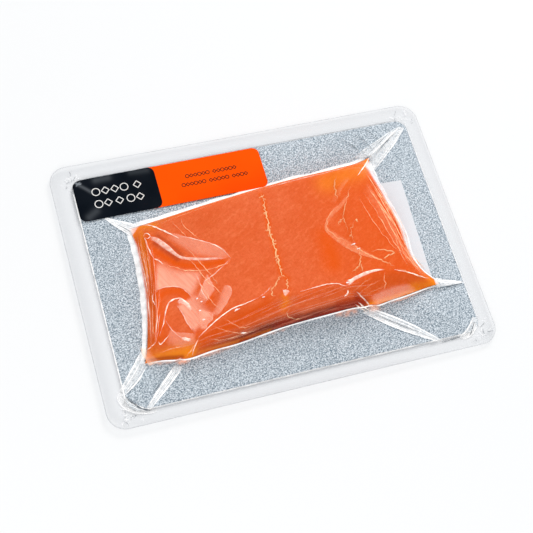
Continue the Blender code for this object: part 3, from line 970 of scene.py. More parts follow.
WARM_FOLDS = (
    ((170, 220, 180, 230, 187, 237), 0.35, 0.4),
    ((180, 217, 183, 225, 192, 233, 198, 238), 0.4, 0.45),
    ((182, 255, 192, 262, 200, 272, 208, 282, 218, 290, 223, 298), 0.45, 0.5),
    ((197, 248, 198, 260, 205, 268, 213, 278, 218, 284), 0.4, 0.4),
    ((185, 272, 198, 282, 205, 292, 213, 303, 222, 310), 0.45, 0.45),
    ((183, 244, 196, 258, 206, 269, 217, 282), 0.4, 0.35),
    ((230, 257, 228, 262, 220, 265, 208, 269, 188, 270, 175, 267, 163, 263), 0.5, 0.5),
    ((211, 325, 225, 330, 240, 332.5, 255, 330), 0.4, 0.4),
    ((223, 317, 232, 323, 242, 327, 252, 325), 0.35, 0.4),
    ((206, 338, 220, 339.5, 234, 336.5, 246, 331.5), 0.4, 0.35),
    ((290, 307.5, 286.5, 312, 288, 316, 295, 318.5, 302, 318), 0.4, 0.4),
    ((366, 184, 373, 194, 383, 212, 394, 233, 406, 251, 427, 275), 0.5, 0.5),
    ((370, 182, 380, 198, 391, 217, 401, 237, 410, 252, 424, 268), 0.45, 0.65),
    ((363, 192, 374, 208, 384, 225, 396, 245, 412, 262, 427, 276), 0.4, 0.5),
    ((374, 186, 384, 205, 394, 224, 404, 242), 0.5, 0.6),
    ((358, 196, 366, 210, 378, 228, 388, 240, 402, 256), 0.4, 0.4),
    ((385, 271, 383.5, 277, 385, 284, 383, 290), 0.5, 0.5),
    ((352, 292, 361, 284, 371, 277), 0.5, 0.25),
    ((356, 295, 368, 286, 380, 279), 0.4, 0.25),
    ((360, 298, 374, 290, 388, 285), 0.4, 0.2),
    ((140, 232, 141, 250, 146, 275, 149, 300), 0.4, 0.3),
    ((146, 240, 147, 256, 150, 272), 0.4, 0.35),
    ((152, 306, 152, 322, 154, 340), 0.4, 0.4),
    ((160, 352, 172, 348, 182, 346), 0.5, 0.4),
    ((186, 356, 192, 348, 199, 338), 0.5, 0.5),
)
# Fine lines of painted shade in film and card: widths.
SHADE_LINES = (
    ((124.5, 395.5, 128.5, 399.8, 133, 402.7, 139, 407, 146.4, 409.4, 156, 409.4), 1.1, 0.95),
    ((441, 342, 452, 339, 461, 336), 0.5, 0.6),
    ((469, 336, 472, 328, 474, 321), 0.6, 0.7),
    ((438, 288, 450, 285.5, 462, 283), 0.6, 0.8),
    ((341, 138, 352, 145, 360, 152), 0.6, 0.3),
    ((352, 133, 362, 139, 371, 147), 0.6, 0.3),
    ((362, 127, 371, 133, 379, 140), 0.6, 0.3),
    ((118, 224.5, 126, 229, 132, 233), 0.4, 0.3),
    ((396, 130, 385, 142, 375, 154), 0.5, 0.6),
    ((390, 131, 378, 143, 367, 154), 0.4, 0.4),
    ((378, 315.5, 396, 323, 418, 332), 0.5, 0.5),
    ((163, 378, 156, 388, 149, 399), 0.4, 0.35),
)
# Soft painted sheens on the black label: reaches.
SHEENS = (
    ((74.5, 182.5, 77, 183.8, 80, 183.8), 0.45, 0.95),
    ((76, 185.5, 79, 182.5), 0.4, 0.8),
    ((78, 185, 84, 188, 91, 192), 0.9, 0.25),
    ((95, 180, 107, 177.5), 2.2, 0.14),
    ((89, 217, 96, 211), 2.2, 0.12),
    ((130, 172, 146, 170), 2.0, 0.08),
)
# The seam and veins of fat in the flesh: widths. Then which veins have side shoots, and how
# many.
VEINS = (
    (SEAM, 0.95, 1.3),
    ((258, 197.5, 261, 196, 264, 194.5), 0.7, 0.8),
    ((264, 212.5, 267, 211.5), 0.9, 0.9),
    ((265, 230, 268, 229.7, 271, 229.5), 0.8, 0.8),
    ((271.5, 244, 274, 243.5, 276, 243), 0.7, 0.7),
    ((274, 257, 276.5, 256, 278, 254.5), 0.9, 0.9),
    ((282, 276, 278.5, 277, 276, 283, 271.5, 289, 272, 294, 275, 296), 0.8, 0.7),
    ((287, 278, 286.5, 283, 287.5, 289), 0.8, 0.9),
    ((336, 176, 334, 183, 334.5, 190, 337.5, 200), 0.8, 0.55),
    ((350, 186, 347, 195, 344.5, 206, 342.7, 216, 345, 223, 348.4, 231.5), 0.6, 0.55),
    ((343, 218, 340, 220, 337.8, 224), 0.7, 0.5),
    ((357, 217, 351.3, 226, 350.7, 232, 352, 237, 354, 243), 0.45, 0.4),
    ((352, 243, 359, 249, 369, 254.5, 384, 261, 395, 266), 0.9, 0.7),
    ((358, 249, 360, 256, 359.5, 263, 356, 268, 352, 271), 0.9, 0.7),
    ((359.9, 263, 361.5, 267, 362, 271.7), 0.7, 0.5),
    ((370, 251, 382, 249, 393, 252, 386, 256, 383, 259), 0.9, 0.65),
    ((338, 203, 330, 213, 326, 222, 329, 231, 340, 238, 352, 243), 0.7, 0.35),
    ((398, 268, 409, 272, 422, 277), 0.7, 0.5),
)
SHOOTS = ((0, 12), (11, 2))

# Painted glints, bright specks on the film: the pixel, and how long and how wide it is in pixels.
GLINTS = (
    (196.5, 298, 2, 1.0),
    (201, 301, 2, 1.0),
    (199.5, 310, 1.6, 1.0),
    (203.5, 319, 3, 1.0),
    (353, 243.5, 4, 1.2),
    (358, 248, 4, 0.9),
    (242, 332.4, 3, 1.0),
    (263, 296.5, 3, 1.0),
    (237, 309, 4, 1.0),
    (347, 282, 3, 1.6),
)
# Patches lie between two curves of pixels, and have a strength at each. Pale veils of painted
# reflection where the film stands off the flesh and mirrors the lights, and the same over the
# orange on the right.
VEIL_REFLECTIONS = (
    ((165, 231, 188, 237, 208, 242, 222, 248, 230, 257),
     (166, 238, 178, 247, 191, 256, 208, 258, 229, 259), 0.2, 0.16),
    ((154, 292, 160, 288, 170, 286, 182, 288, 194, 300),
     (154, 256, 163, 260, 180, 266, 195, 268, 206, 269), 0.4, 0.3),
    ((206, 273, 211, 281, 215, 290), (194, 300, 198, 303, 203, 306), 0.3, 0.25),
    ((176, 304, 182, 313, 187, 323, 196, 333), (200, 288, 203, 297, 208, 303, 215, 312), 0.36, 0.22),
    ((215, 312, 211, 320, 204, 329), (196, 306, 197, 318, 199, 331), 0.32, 0.22),
    ((225, 284, 231, 287, 229, 298, 223, 308, 215, 317),
     (224, 284, 218, 293, 215, 303, 206, 318), 0.3, 0.1),
    ((168, 329, 180, 332, 196, 333), (164, 345, 180, 349, 197, 345), 0.2, 0.1),
    ((139, 346, 144, 358, 150, 366), (148, 346, 155, 354, 163, 361), 0.4, 0.0),
    ((372, 305, 392, 298.5, 418, 289.5), (368, 295, 386, 286, 410, 281), 0.26, 0.2),
)
WARM_VEIL_REFLECTIONS = (
    ((350, 190, 339, 203, 329, 213, 324.5, 226, 331, 237, 350, 250, 370, 257, 386, 262),
     (353, 192, 343, 206, 333, 216, 328, 226, 337, 232, 355, 243, 371, 253, 386, 260), 0.22, 0.14),
    ((366, 180, 386, 212, 404, 246, 426, 276), (360, 190, 378, 222, 396, 252, 416, 270), 0.16, 0.0),
    ((350, 176, 340, 192, 334, 204), (344, 176, 334, 190, 330, 202), 0.12, 0.0),
)
# Painted highlights: gleams where the film's folds mirror the lights.
GLEAMS = (
    ((148, 235.5, 157, 238, 166, 243.5, 175, 251, 183, 256.5, 197, 257.5, 212, 257, 227, 257.5),
     (148, 240, 155, 242.5, 163, 248.5, 173, 255, 182, 259, 197, 260, 212, 259.5, 227, 258.5), 0.5, 0.3),
    ((346, 280, 351, 278.5, 357, 274.5, 365, 271, 374, 269.3, 385, 268.5),
     (348, 287, 352, 282.5, 358, 278.5, 366, 274.5, 375, 271.5, 385, 269.5), 0.75, 0.4),
    ((176, 301, 181, 298.5, 187, 302, 192, 309), (178, 304, 182, 304, 186, 307, 190, 311), 0.6, 0.3),
    ((181, 337, 186, 337, 191, 339), (181, 339, 186, 341, 190, 341), 0.7, 0.5),
    ((282, 290, 285, 289, 289, 290.5), (283.5, 295, 285, 296.5, 286.5, 294.5), 0.45, 0.35),
)
# Juice that tints the card at the fish's foot.
JUICE = (
    ((150, 362, 165, 360, 180, 358), (152, 367, 166, 365, 180, 362), 0.35, 0.0),
    ((190, 357.5, 205, 352.5, 220, 347.5, 240, 341.5),
     (193, 363, 207, 358, 222, 353, 240, 346), 0.35, 0.0),
    ((172, 355, 182, 353, 192, 352), (176, 367, 183, 366, 190, 364), 0.7, 0.3),
    ((258, 336, 275, 330.5, 292, 325.5), (259, 340, 276, 334, 292, 329), 0.2, 0.0),
    ((330, 313.5, 345, 309.5, 358, 307), (332, 320, 347, 318, 362, 317), 0.45, 0.0),
    ((366, 305, 372, 304, 378, 303), (369, 315, 376, 314, 384, 313), 0.45, 0.0),
    ((387, 302.5, 404, 297, 421, 290.5), (387.5, 305, 404.5, 299.5, 421.5, 292.5), 0.4, 0.0),
)
# The pleats' webs on the card, pale with painted highlight, each with the strength of the fine
# lines in it.
WEBS = (
    ((104, 217, 120, 221, 139, 225), (104, 218, 117, 227, 132, 236), 0.25, 0.3, 0.7),
    ((399, 126, 386, 139, 369, 156), (404, 127, 391, 147, 373, 171), 0.22, 0.28, 0.7),
    ((397, 126, 374, 142, 350, 159), (401, 126, 386, 139, 369, 156), 0.1, 0.35, 0.3),
    ((433, 277.5, 446, 279.8, 463, 281.2), (436, 286.5, 449, 284, 463, 281.8), 0.3, 0.35, 0.5),
    ((371, 308, 407, 322, 442, 340), (361, 311.5, 399, 328.5, 439, 341.5), 0.15, 0.3, 0.9),
    ((141, 350, 130, 371, 119, 391), (146, 366, 137, 381, 123, 396), 0.35, 0.15, 0.9),
    ((175, 364, 162, 383, 146, 408), (183, 366, 169, 385, 150, 409), 0.2, 0.25, 1.0),
    ((118, 391, 124, 396, 133, 403, 145, 408, 158, 409),
     (116, 397, 121, 405, 130, 411, 142, 413, 156, 412), 0.2, 0.1, 0.5),
    ((459, 336.5, 464, 332, 469, 325, 472.5, 316),
     (463, 339, 470, 335, 475, 328, 476, 317), 0.25, 0.15, 0.6),
)
# Bands of painted highlight on the film along the fish's sides: the side, its outward direction,
# the band's two distances outside it in millimetres, the share of it over which it fades in, the
# strength at both. A distance below 0 lies over the fish: on the left the band paints light over
# the fish's shaded side face.
FOOT_HIGHLIGHTS = (
    (front_side, (0.0, -1.0), (0.1, 0.75), 0.05, (1.0, 0.7)),
    (right_side, (1.0, 0.0), (0.1, 1.3), 0.05, (0.7, 0.5)),
    (back_side, (0.0, 1.0), (0.8, 3.0), 0.05, (0.95, 0.6)),
    (left_side, (-1.0, 0.0), (-1.4, 2.8), 0.45, (0.8, 0.5)),
)
# A painted sheen over the fish's right end, shown only where the film is seen at a slant.
END_SHEEN = ((right_side, (1.0, 0.0), (-11.0, 0.5), 0.45, (0.85, 0.85)),)

# Streaks of painted highlight on the film along the fish's sides: the side, how many, between
# which shares inside it, the draw, the strength.
PALE_STREAKS = (("left", 7, 0.01, 0.045, 12, 0.35), ("front", 20, 0.02, 0.13, 13, 0.1))
WARM_STREAKS = (
    ("right", 24, 0.012, 0.08, 11, 0.6), ("left", 8, 0.01, 0.05, 15, 0.35),
    ("back", 8, 0.012, 0.07, 14, 0.35))

# The film's bend along the card's sides, in painted highlight and painted shade: the side,
# width in millimetres, strength. Then a line of painted shade round the flange: how far in it
# lies in millimetres, width, strength.
HIGHLIGHT_BENDS = ((3, 0.7, 0.75), (0, 0.6, 0.3), (1, 0.6, 0.35))
SHADE_BENDS = ((2, 0.4, 0.45),)
SHADE_ROUNDS = ((0.3, 0.3, 0.08),)

# Rows of marks on the labels: where each starts, its height in plan and the steps between.
PALE_ROWS = (
    (-91.0 * MM, 61.5 * MM, (1, 1, 1, 1.4, 1)),
    (-91.0 * MM, 53.5 * MM, (1, 1.2, 1.2, 1, 1)),
)
DARK_ROWS = (
    (-36.0 * MM, 60.6 * MM, (1, 1, 1, 1, 1, 1.7, 1, 1, 1, 1, 1, 1)),
    (-39.5 * MM, 55.2 * MM, (1, 1, 1, 1, 1, 1.7, 1, 1, 1, 1, 1.7, 1, 1, 1, 1)),
)
# The marks' shapes in turn, as corners and places round them, and their relief.
RING, DIAMOND = (24, 25), (4, 33)
MARK_SHAPES = (RING, DIAMOND, DIAMOND, RING, DIAMOND)
MARK_RELIEF = (0.0, 0.04, 0.02)

# How two kinds of ridges vary: the share of their strength that is left at their ends, then
# how far, from which draw on and how slowly their width wanders, and so for their strength.
FOLD_MANNER = (0.35, (0.25, 500, 7.0), (0.35, 900, 9.0))
LINE_MANNER = (0.2, (0.15, 700, 14.0), (0.3, 800, 9.0))
# The share of a fold's listed width that it takes up, and of its length that fades.
FOLD_SHARE = 0.75
FOLD_ENDS = 0.35

# How many points the fish and the cover film have across and along, and how far inside its
# outline the fish stays.
FISH_GRID = (261, 141)
FILM_GRID = (231, 119)
FISH_INSET = (0.0022, 0.004)
# The front's dark, partly its own darker flesh and partly painted shade, fades upwards, from
# the left and to the right, each from a start over a length. Deep orange grows to the right so.
BROWN_AND_SHADE_TOP = (1.0 * MM, 10.0 * MM)
BROWN_AND_SHADE_LEFT = (-75.0 * MM, 60.0 * MM)
BROWN_AND_SHADE_RIGHT = (36.0 * MM, 12.0 * MM)
DEEP_RIGHT = (2.0 * MM, 60.0 * MM)
# Amber at the fish's corners: reach in millimetres and strength.
CORNER_AMBER = (
    (FRONT_LEFT, 9.0, 0.8), (FRONT_RIGHT, 10.0, 0.95), (BACK_RIGHT, 12.0, 0.8), (BACK_LEFT, 8.0, 0.7))


# ---- pieces

def edge_spacing(count):
    """Shares from 0 to 1 that lie closer together near both ends."""
    t = np.linspace(0.0, 1.0, count)
    return blend(t, 0.5 - 0.5 * np.cos(np.pi * t), 0.6)


def salmon():
    """The piece of salmon: its upper surface over (u, v), and a flat underside. Attributes
    say where its flesh is amber or deeper orange, where shade is painted on it, and where, low on
    its front, darker flesh and painted shade are mixed."""
    u, v = np.meshgrid(*(edge_spacing(count) for count in FISH_GRID))
    u, v = (blend(inset, 1.0 - inset, share) for inset, share in zip(FISH_INSET, (u, v)))
    x, y, z = fish_top(u, v)
    lower = stack(x, y, FLOOR + slip_lift(x, y))
    points, faces = closed(stack(x, y, z), lower, cells(*u.shape), rim_of(*u.shape))
    amber = painted(x, y, AMBER, fish_surface)
    for corner, reach, strength in CORNER_AMBER:
        amber = np.maximum(amber, strength * bump(apart(corner, (x, y)), 0.0, reach * MM))
    for share, reach, strength in ((1.0 - u, 0.03, 0.4), (1.0 - v, 0.05, 0.5), (u, 0.03, 0.15)):
        amber = np.maximum(amber, strength * bump(share, 0.0, reach))
    # Darker towards the bottom of the front face: darker flesh and painted shade together.
    low_front = np.clip(1.4 - 1.4 * ease(z - FLOOR, *BROWN_AND_SHADE_TOP), 0.0, 1.0) * (v < 0.4)
    looks = {
        "amber": amber,
        "deep": np.maximum(painted(x, y, DEEP, fish_surface), 0.6 * ease(x, *DEEP_RIGHT)),
        "shade": painted(x, y, SHADE, fish_surface),
        "brown_and_shade": low_front * ease(x, *BROWN_AND_SHADE_LEFT) * (1.0 - ease(x, *BROWN_AND_SHADE_RIGHT)),
    }
    looks = {label: np.tile(values.ravel(), 2) for label, values in looks.items()}
    return piece("salmon", points, faces, flesh_finish(), "salmon_flesh", "salmon_fillet", looks, 60)


def cover_film(finish):
    """The cover film in one skin: over the fish by (u, v), then in rings. Each point of the
    fish's outline runs straight to its own place on the card's lip, and on to the pack's
    edge."""
    across, along = (edge_spacing(count) for count in FILM_GRID)
    u, v = np.meshgrid(across, along)
    x, y, z = fish_top(u, v)
    fish = stack(x, y, z + FILM + FILM_LIFT)
    rim = rim_of(*u.shape)
    turns = np.concatenate([across[:-1], 1.0 + along[:-1], 3.0 - across[:0:-1], 4.0 - along[:0:-1]])
    ends = np.interp(turns, PLEAT_ROOT + (4.0,), PLEAT_END + (PLEAT_END[0] + 4.0,))
    start, lip, edge = fish[rim].T, card_edge(ends, CARD_LIP), rounded(ends, PACK, PACK_CORNER)
    rows = [fish]
    for share in np.linspace(0.0, 1.0, 17)[1:] ** 1.9:
        x, y = between(start, lip, share)
        rows.append(stack(x, y, draped(x, y, start[2], apart(start, (x, y)))))
    for share in np.linspace(0.0, 1.0, 13)[1:] ** 1.2:
        x, y = between(lip, edge, share)
        rows.append(stack(x, y, sheet_top(x, y)))
    upper = np.vstack(rows)
    rings = np.arange(u.size, len(upper)).reshape(-1, len(rim))
    faces = np.vstack([cells(*u.shape), ring_cells(np.vstack([rim, rings]))])
    points, faces = closed(upper, upper - (0.0, 0.0, FILM), faces, rings[-1])
    return piece("cover_film", points, faces, finish, "clear_film", "clear_cover", rim_share(points))


def base_sheet(finish):
    """The film under the card: level, then curling up in the flange, by rings about the
    pack's middle."""
    turns = np.linspace(0.0, 4.0, 480, endpoint=False)
    inner = np.array(card_edge(turns, CARD_DROP))
    outer = np.array(rounded(turns, PACK, PACK_CORNER))
    rings = [inner * share for share in (0.02, 0.5, 0.9)]
    rings += [blend(inner, outer, share) for share in np.linspace(0.0, 1.0, 15)]
    x, y = np.stack(rings, axis=1)
    lower = stack(x, y, flange_curl(x, y) + np.maximum(corner_crinkle(x, y), 0.0) * 0.5)
    index = np.arange(x.size).reshape(x.shape)
    points, faces = closed(lower + (0.0, 0.0, FILM), lower, ring_cells(index), index[-1])
    cap = strips(len(turns))
    faces = np.vstack([faces, cap, cap[:, ::-1] + x.size])
    return piece("base_sheet", points, faces, finish, "clear_film", "base_film", rim_share(points))


def silver_card():
    """The card, with rounded edges: its edge profile, a half ellipse, is carried round its
    outline, and the two flat sides are closed in strips."""
    turns = np.linspace(0.0, 4.0, 400, endpoint=False)
    angle = np.linspace(-np.pi / 2.0, np.pi / 2.0, 9)
    low, high = CARD[:, 2]
    rise = (low + high) / 2.0 + (high - low) / 2.0 * np.sin(angle)
    rings = [card_edge(turns, -inset) for inset in CARD_EDGE * (1.0 - np.cos(angle))]
    x, y = np.stack(rings, axis=1)
    points = stack(x, y, np.repeat(rise, len(turns)))
    cap = strips(len(turns))
    faces = np.vstack([cells(*x.shape, wrap=True), cap[:, ::-1], cap + x.size - len(turns)])
    return piece(
        "silver_card", points, faces, silver_finish(), "silver_foil", "foil_card", sharp=35)


def label(name, box, finish, slot, replaced, level, sheens=()):
    """A thin label with rounded corners, draped on the film: each row of its grid is as long
    as its outline is wide there. Sheens are strokes of painted highlight, in which its skin is paler."""
    middle = (box[0] + box[1]) / 2.0
    half = (box[1] - box[0]) / 2.0
    rows = half[1] * np.sin(np.linspace(-np.pi / 2.0, np.pi / 2.0, 41))
    columns = np.linspace(-1.0, 1.0, 121)
    over = np.maximum(np.abs(rows) - (half[1] - LABEL_CORNER), 0.0)
    inset = LABEL_CORNER - np.sqrt(np.maximum(LABEL_CORNER ** 2 - over ** 2, 0.0))
    x = middle[0] + columns[None] * (half[0] - inset)[:, None]
    y = middle[1] + np.repeat(rows[:, None], len(columns), axis=1)
    z = sheet_top(x, y) + level
    upper = stack(x, y, z + LABEL_THICKNESS)
    points, faces = closed(upper, stack(x, y, z), cells(*x.shape), rim_of(*x.shape))
    gloss = {"sheen": np.tile(painted(x, y, sheens, sheet_top).ravel(), 2)}
    return piece(name, points, faces, finish, slot, replaced, gloss, 40)


def ridges(name, paths, finish, relief, ends, manner, surface=film_top, slot="clear_film"):
    """Slender ridges along plan paths, each with its width and strength, that are thin and
    weak over a share of their length at both ends, and vary in a manner."""
    least, *unevenness = manner
    bodies = []
    for number, (x, y, width, strength) in enumerate(paths):
        broad, strong = (
            1.0 + share * wander(len(x), seed + number, pitch)
            for share, seed, pitch in unevenness)
        body = np.sqrt(faded(np.linspace(0.0, 1.0, len(x)), ends, ends))
        half = width / 2.0 * blend(0.12, 1.0, body) * broad
        along = strength * blend(least, 1.0, body) * strong
        bodies.append(ridge(x, y, half, along, surface, relief))
    return assembled(name, bodies, finish, slot)


def lines(name, paths, finish, relief, ends):
    """Fine lines on the film along plan paths."""
    return ridges(name, paths, finish, relief, ends, LINE_MANNER)


def folds(name, strokes, finish, relief, crinkle=0.0, surface=film_top, slot="clear_film"):
    """Slender folds or veins along strokes. A crinkle shifts their places to and fro by so
    many pixels."""
    paths = []
    for number, (pixels, width, strength) in enumerate(strokes):
        path = curve(pixels, 4 * len(pixels) + 1)
        shift = np.column_stack([wander(len(path), seed + number, 5.0) for seed in (100, 300)])
        x, y = land(path + crinkle * shift, surface)
        paths.append((x, y, FOLD_SHARE * width * MM, strength))
    return ridges(name, paths, finish, relief, FOLD_ENDS, FOLD_MANNER, surface, slot)


def veils(name, patches, finish, relief, soft, ends, crinkle, surface=film_top, slot="clear_film"):
    """Thin patches: a loft from one curve to the other, whose strength goes from the first
    curve's to the second's. It fades out over the soft share of the way at the second curve,
    and over a share of the patch's length at both its ends. A crinkle shifts the curves'
    places to and fro by so many pixels."""
    across, along = np.linspace(0.0, 1.0, 13), np.linspace(0.0, 1.0, 49)
    shape = (len(across), len(along))
    bodies = []
    for number, (first, second, strong, weak, *_) in enumerate(patches):
        shift = [crinkle * wander(len(along), 40 * number + k, 16.0) for k in range(4)]
        first = curve(first, len(along)) + np.column_stack(shift[:2])
        second = curve(second, len(along)) + np.column_stack(shift[2:])
        grid = blend(second[None], first[None], across[:, None, None])
        x, y = land(grid.reshape(-1, 2), surface)
        share = blend(weak, strong, across) * ease(across, 0.0, soft)
        strength = np.outer(share, faded(along, ends, ends))
        bodies.append(patch(x.reshape(shape), y.reshape(shape), strength, surface, relief))
    return assembled(name, bodies, finish, slot)


def side_bands(name, sides, finish):
    """Bands of painted highlight or sheen on the film along the fish's sides. Each fades out
    towards the side's ends and is a little uneven, and the part of it over the fish shrinks
    towards them."""
    t, across = np.linspace(0.0, 1.0, 241), np.linspace(0.0, 1.0, 19)
    bodies = []
    for number, (side, (out_x, out_y), (near, far), soft, (strong, weak)) in enumerate(sides):
        x, y = side(t)
        far = far * (1.0 + 0.12 * wander(len(t), 60 + number, 24.0))
        reach = blend(near * faded(t, 0.45, 0.15), far, across[:, None]) * MM
        share = blend(strong, weak, across) * faded(across, soft, 0.12)
        uneven = faded(t, 0.08, 0.08) * (1.0 + 0.15 * wander(len(t), 70 + number, 20.0))
        strength = np.outer(share, uneven)
        bodies.append(patch(x + out_x * reach, y + out_y * reach, strength, film_top, (0.03, 0.15)))
    return assembled(name, bodies, finish, "clear_film")


def web_strokes():
    """Fine lines of painted highlight within each web, at shares between its two edges:
    strongest along the edges themselves."""
    draw = np.random.default_rng(21)
    for first, second, _, _, strength in WEBS:
        first, second = np.array(first, float), np.array(second, float)
        for share in (0.0, 0.14, 0.35, 0.6, 0.82, 1.0):
            if share in (0.0, 1.0):
                yield blend(first, second, share), draw.uniform(0.8, 1.2), strength
            else:
                share, width = share + draw.uniform(-0.06, 0.06), draw.uniform(0.4, 0.8)
                yield blend(first, second, share), width, draw.uniform(0.2, 0.8) * strength


def vein_strokes():
    """The veins, and short bent side shoots at drawn places along some of them."""
    draw = np.random.default_rng(17)
    yield from VEINS
    for number, count in SHOOTS:
        path = curve(VEINS[number][0], 80)
        for place in draw.integers(4, 75, count):
            run = path[place + 2] - path[place - 2]
            angle = np.arctan2(run[1], run[0]) + draw.choice((-1.0, 1.0)) * draw.uniform(0.6, 1.5)
            long = draw.uniform(1.2, 3.5)
            step = long * np.array((np.cos(angle), np.sin(angle)))
            bend = 0.15 * long * np.array((-np.sin(angle), np.cos(angle)))
            shoot = np.concatenate([path[place], path[place] + 0.5 * step + bend, path[place] + step])
            yield shoot, 0.6, draw.uniform(0.4, 0.9)


def glint_strokes():
    """Each painted glint as a short wide stroke along the pack's rows in the picture."""
    for x, y, long, wide in GLINTS:
        half = long / 2.0
        yield (x - half, y + 0.3 * half, x, y, x + half, y - 0.3 * half), 0.65 * wide, 0.55


def streak_paths(rows):
    """Fine lines along the fish's sides: each starts and ends at its own place and drifts a
    little."""
    t = np.linspace(0.0, 1.0, 41)
    for side, count, near, far, seed, strength in rows:
        draw = np.random.default_rng(seed)
        for number in range(count):
            depth = blend(near, far, (number + draw.uniform(0.0, 0.8)) / count)
            depth = depth * blend(draw.uniform(0.6, 1.0), draw.uniform(1.0, 1.3), t)
            first = draw.uniform(0.06, 0.6)
            run = blend(first, min(first + draw.uniform(0.15, 0.45), 0.95), t)
            depth = depth if side in ("left", "front") else 1.0 - depth
            x, y = fish_plan(depth, run) if side in ("left", "right") else fish_plan(run, depth)
            yield x, y, draw.uniform(0.2, 0.4) * MM, strength * draw.uniform(0.5, 1.3)


def rim_paths(rounds, bends):
    """Lines round the pack inside its outline, and the film's bend along the card's sides."""
    turns = np.linspace(0.0, 4.0, 321)
    for inset, width, strength in rounds:
        yield *rounded(turns, PACK, PACK_CORNER, -inset * MM), width * MM, strength
    for side, width, strength in bends:
        run = np.linspace(side + 0.1, side + 0.9, 121)
        yield *card_edge(run, 0.35 * MM), width * MM, strength


def crinkle_paths(seed, count):
    """Short creases of the flange round the card's four corners, each a slight arc."""
    draw = np.random.default_rng(seed)
    t = np.linspace(-1.0, 1.0, 9)
    for corner in range(4):
        corner_x, corner_y = card_edge(np.float64(corner), 2.5 * MM)
        for _ in range(count):
            long = draw.uniform(0.5, 2.2) * MM
            angle = draw.uniform(0.0, 2.0 * np.pi)
            aside = long * draw.uniform(-0.4, 0.4) * t ** 2
            x = corner_x + np.clip(draw.normal(0.0, 4.0), -6.0, 6.0) * MM
            y = corner_y + np.clip(draw.normal(0.0, 4.0), -6.0, 6.0) * MM
            x = x + long * t * np.cos(angle) - aside * np.sin(angle)
            y = y + long * t * np.sin(angle) + aside * np.cos(angle)
            yield x, y, draw.uniform(0.3, 0.55) * MM, draw.uniform(0.08, 0.3)


def marks(name, rows, high, pitch, width, finish, slot, level):
    """Rows of small open figures on a label, in the place of its words. Each is straight
    lines between corners that lie evenly round a circle."""

    def surface(x, y):
        return sheet_top(x, y) + level

    bodies = []
    for x, y, gaps in rows:
        for number, gap in enumerate(gaps):
            corners, places = MARK_SHAPES[number % len(MARK_SHAPES)]
            angle = np.pi / 2.0 + np.linspace(0.0, 2.0 * np.pi, corners + 1)
            place, corner = np.linspace(0.0, corners, places), np.arange(corners + 1)
            path_x = np.interp(place, corner, x + high / 2.0 * np.cos(angle))
            path_y = np.interp(place, corner, y + high / 2.0 * np.sin(angle))
            half = np.full(places, width / 2.0)
            bodies.append(ridge(path_x, path_y, half, np.ones(places), surface, MARK_RELIEF))
            x += pitch * gap
    return assembled(name, bodies, finish, slot)


# ---- the scene

def camera():
    """The photograph's camera."""
    data = bpy.data.cameras.new("photo_camera")
    data.lens = LENS
    data.sensor_width = SENSOR
    data.clip_start = 0.01
    result = placed("photo_camera", data)
    turn = Matrix((RIGHT, UP, BACK)).transposed()
    result.matrix_world = Matrix.Translation(Vector(EYE)) @ turn.to_4x4()
    bpy.context.scene.camera = result


def softbox(name, place, size, power):
    """A square studio light, turned to the pack."""
    data = bpy.data.lights.new(name, "AREA")
    data.energy = power
    data.size = size
    result = placed(name, data)
    result.location = place
    result.rotation_euler = Vector(place).to_track_quat("Z", "Y").to_euler()


def studio():
    """Floor, sky and lights."""
    mesh = bpy.data.meshes.new("floor")
    mesh.from_pydata([(-3, -3, 0), (3, -3, 0), (3, 3, 0), (-3, 3, 0)], [], [(0, 1, 2, 3)])
    finish = Finish("floor_look")
    mesh.materials.append(finish.close(finish.principled(Base_Color=FLOOR_PALE, Roughness=0.8)))
    floor = placed("floor", mesh)
    floor.location.z = -0.05 * MM
    world = bpy.data.worlds.new("studio")
    world.use_nodes = True
    sky = world.node_tree.nodes["Background"]
    sky.inputs["Color"].default_value = SKY
    sky.inputs["Strength"].default_value = 0.54
    bpy.context.scene.world = world
    softbox("key", (1.84, 2.48, 1.92), 1.36, 102.0)
    softbox("fill", (-0.75, -1.30, 1.00), 0.9, 13.6)
    bpy.context.scene.cycles.transparent_max_bounces = 32
    bpy.context.scene.view_settings.view_transform = "Standard"


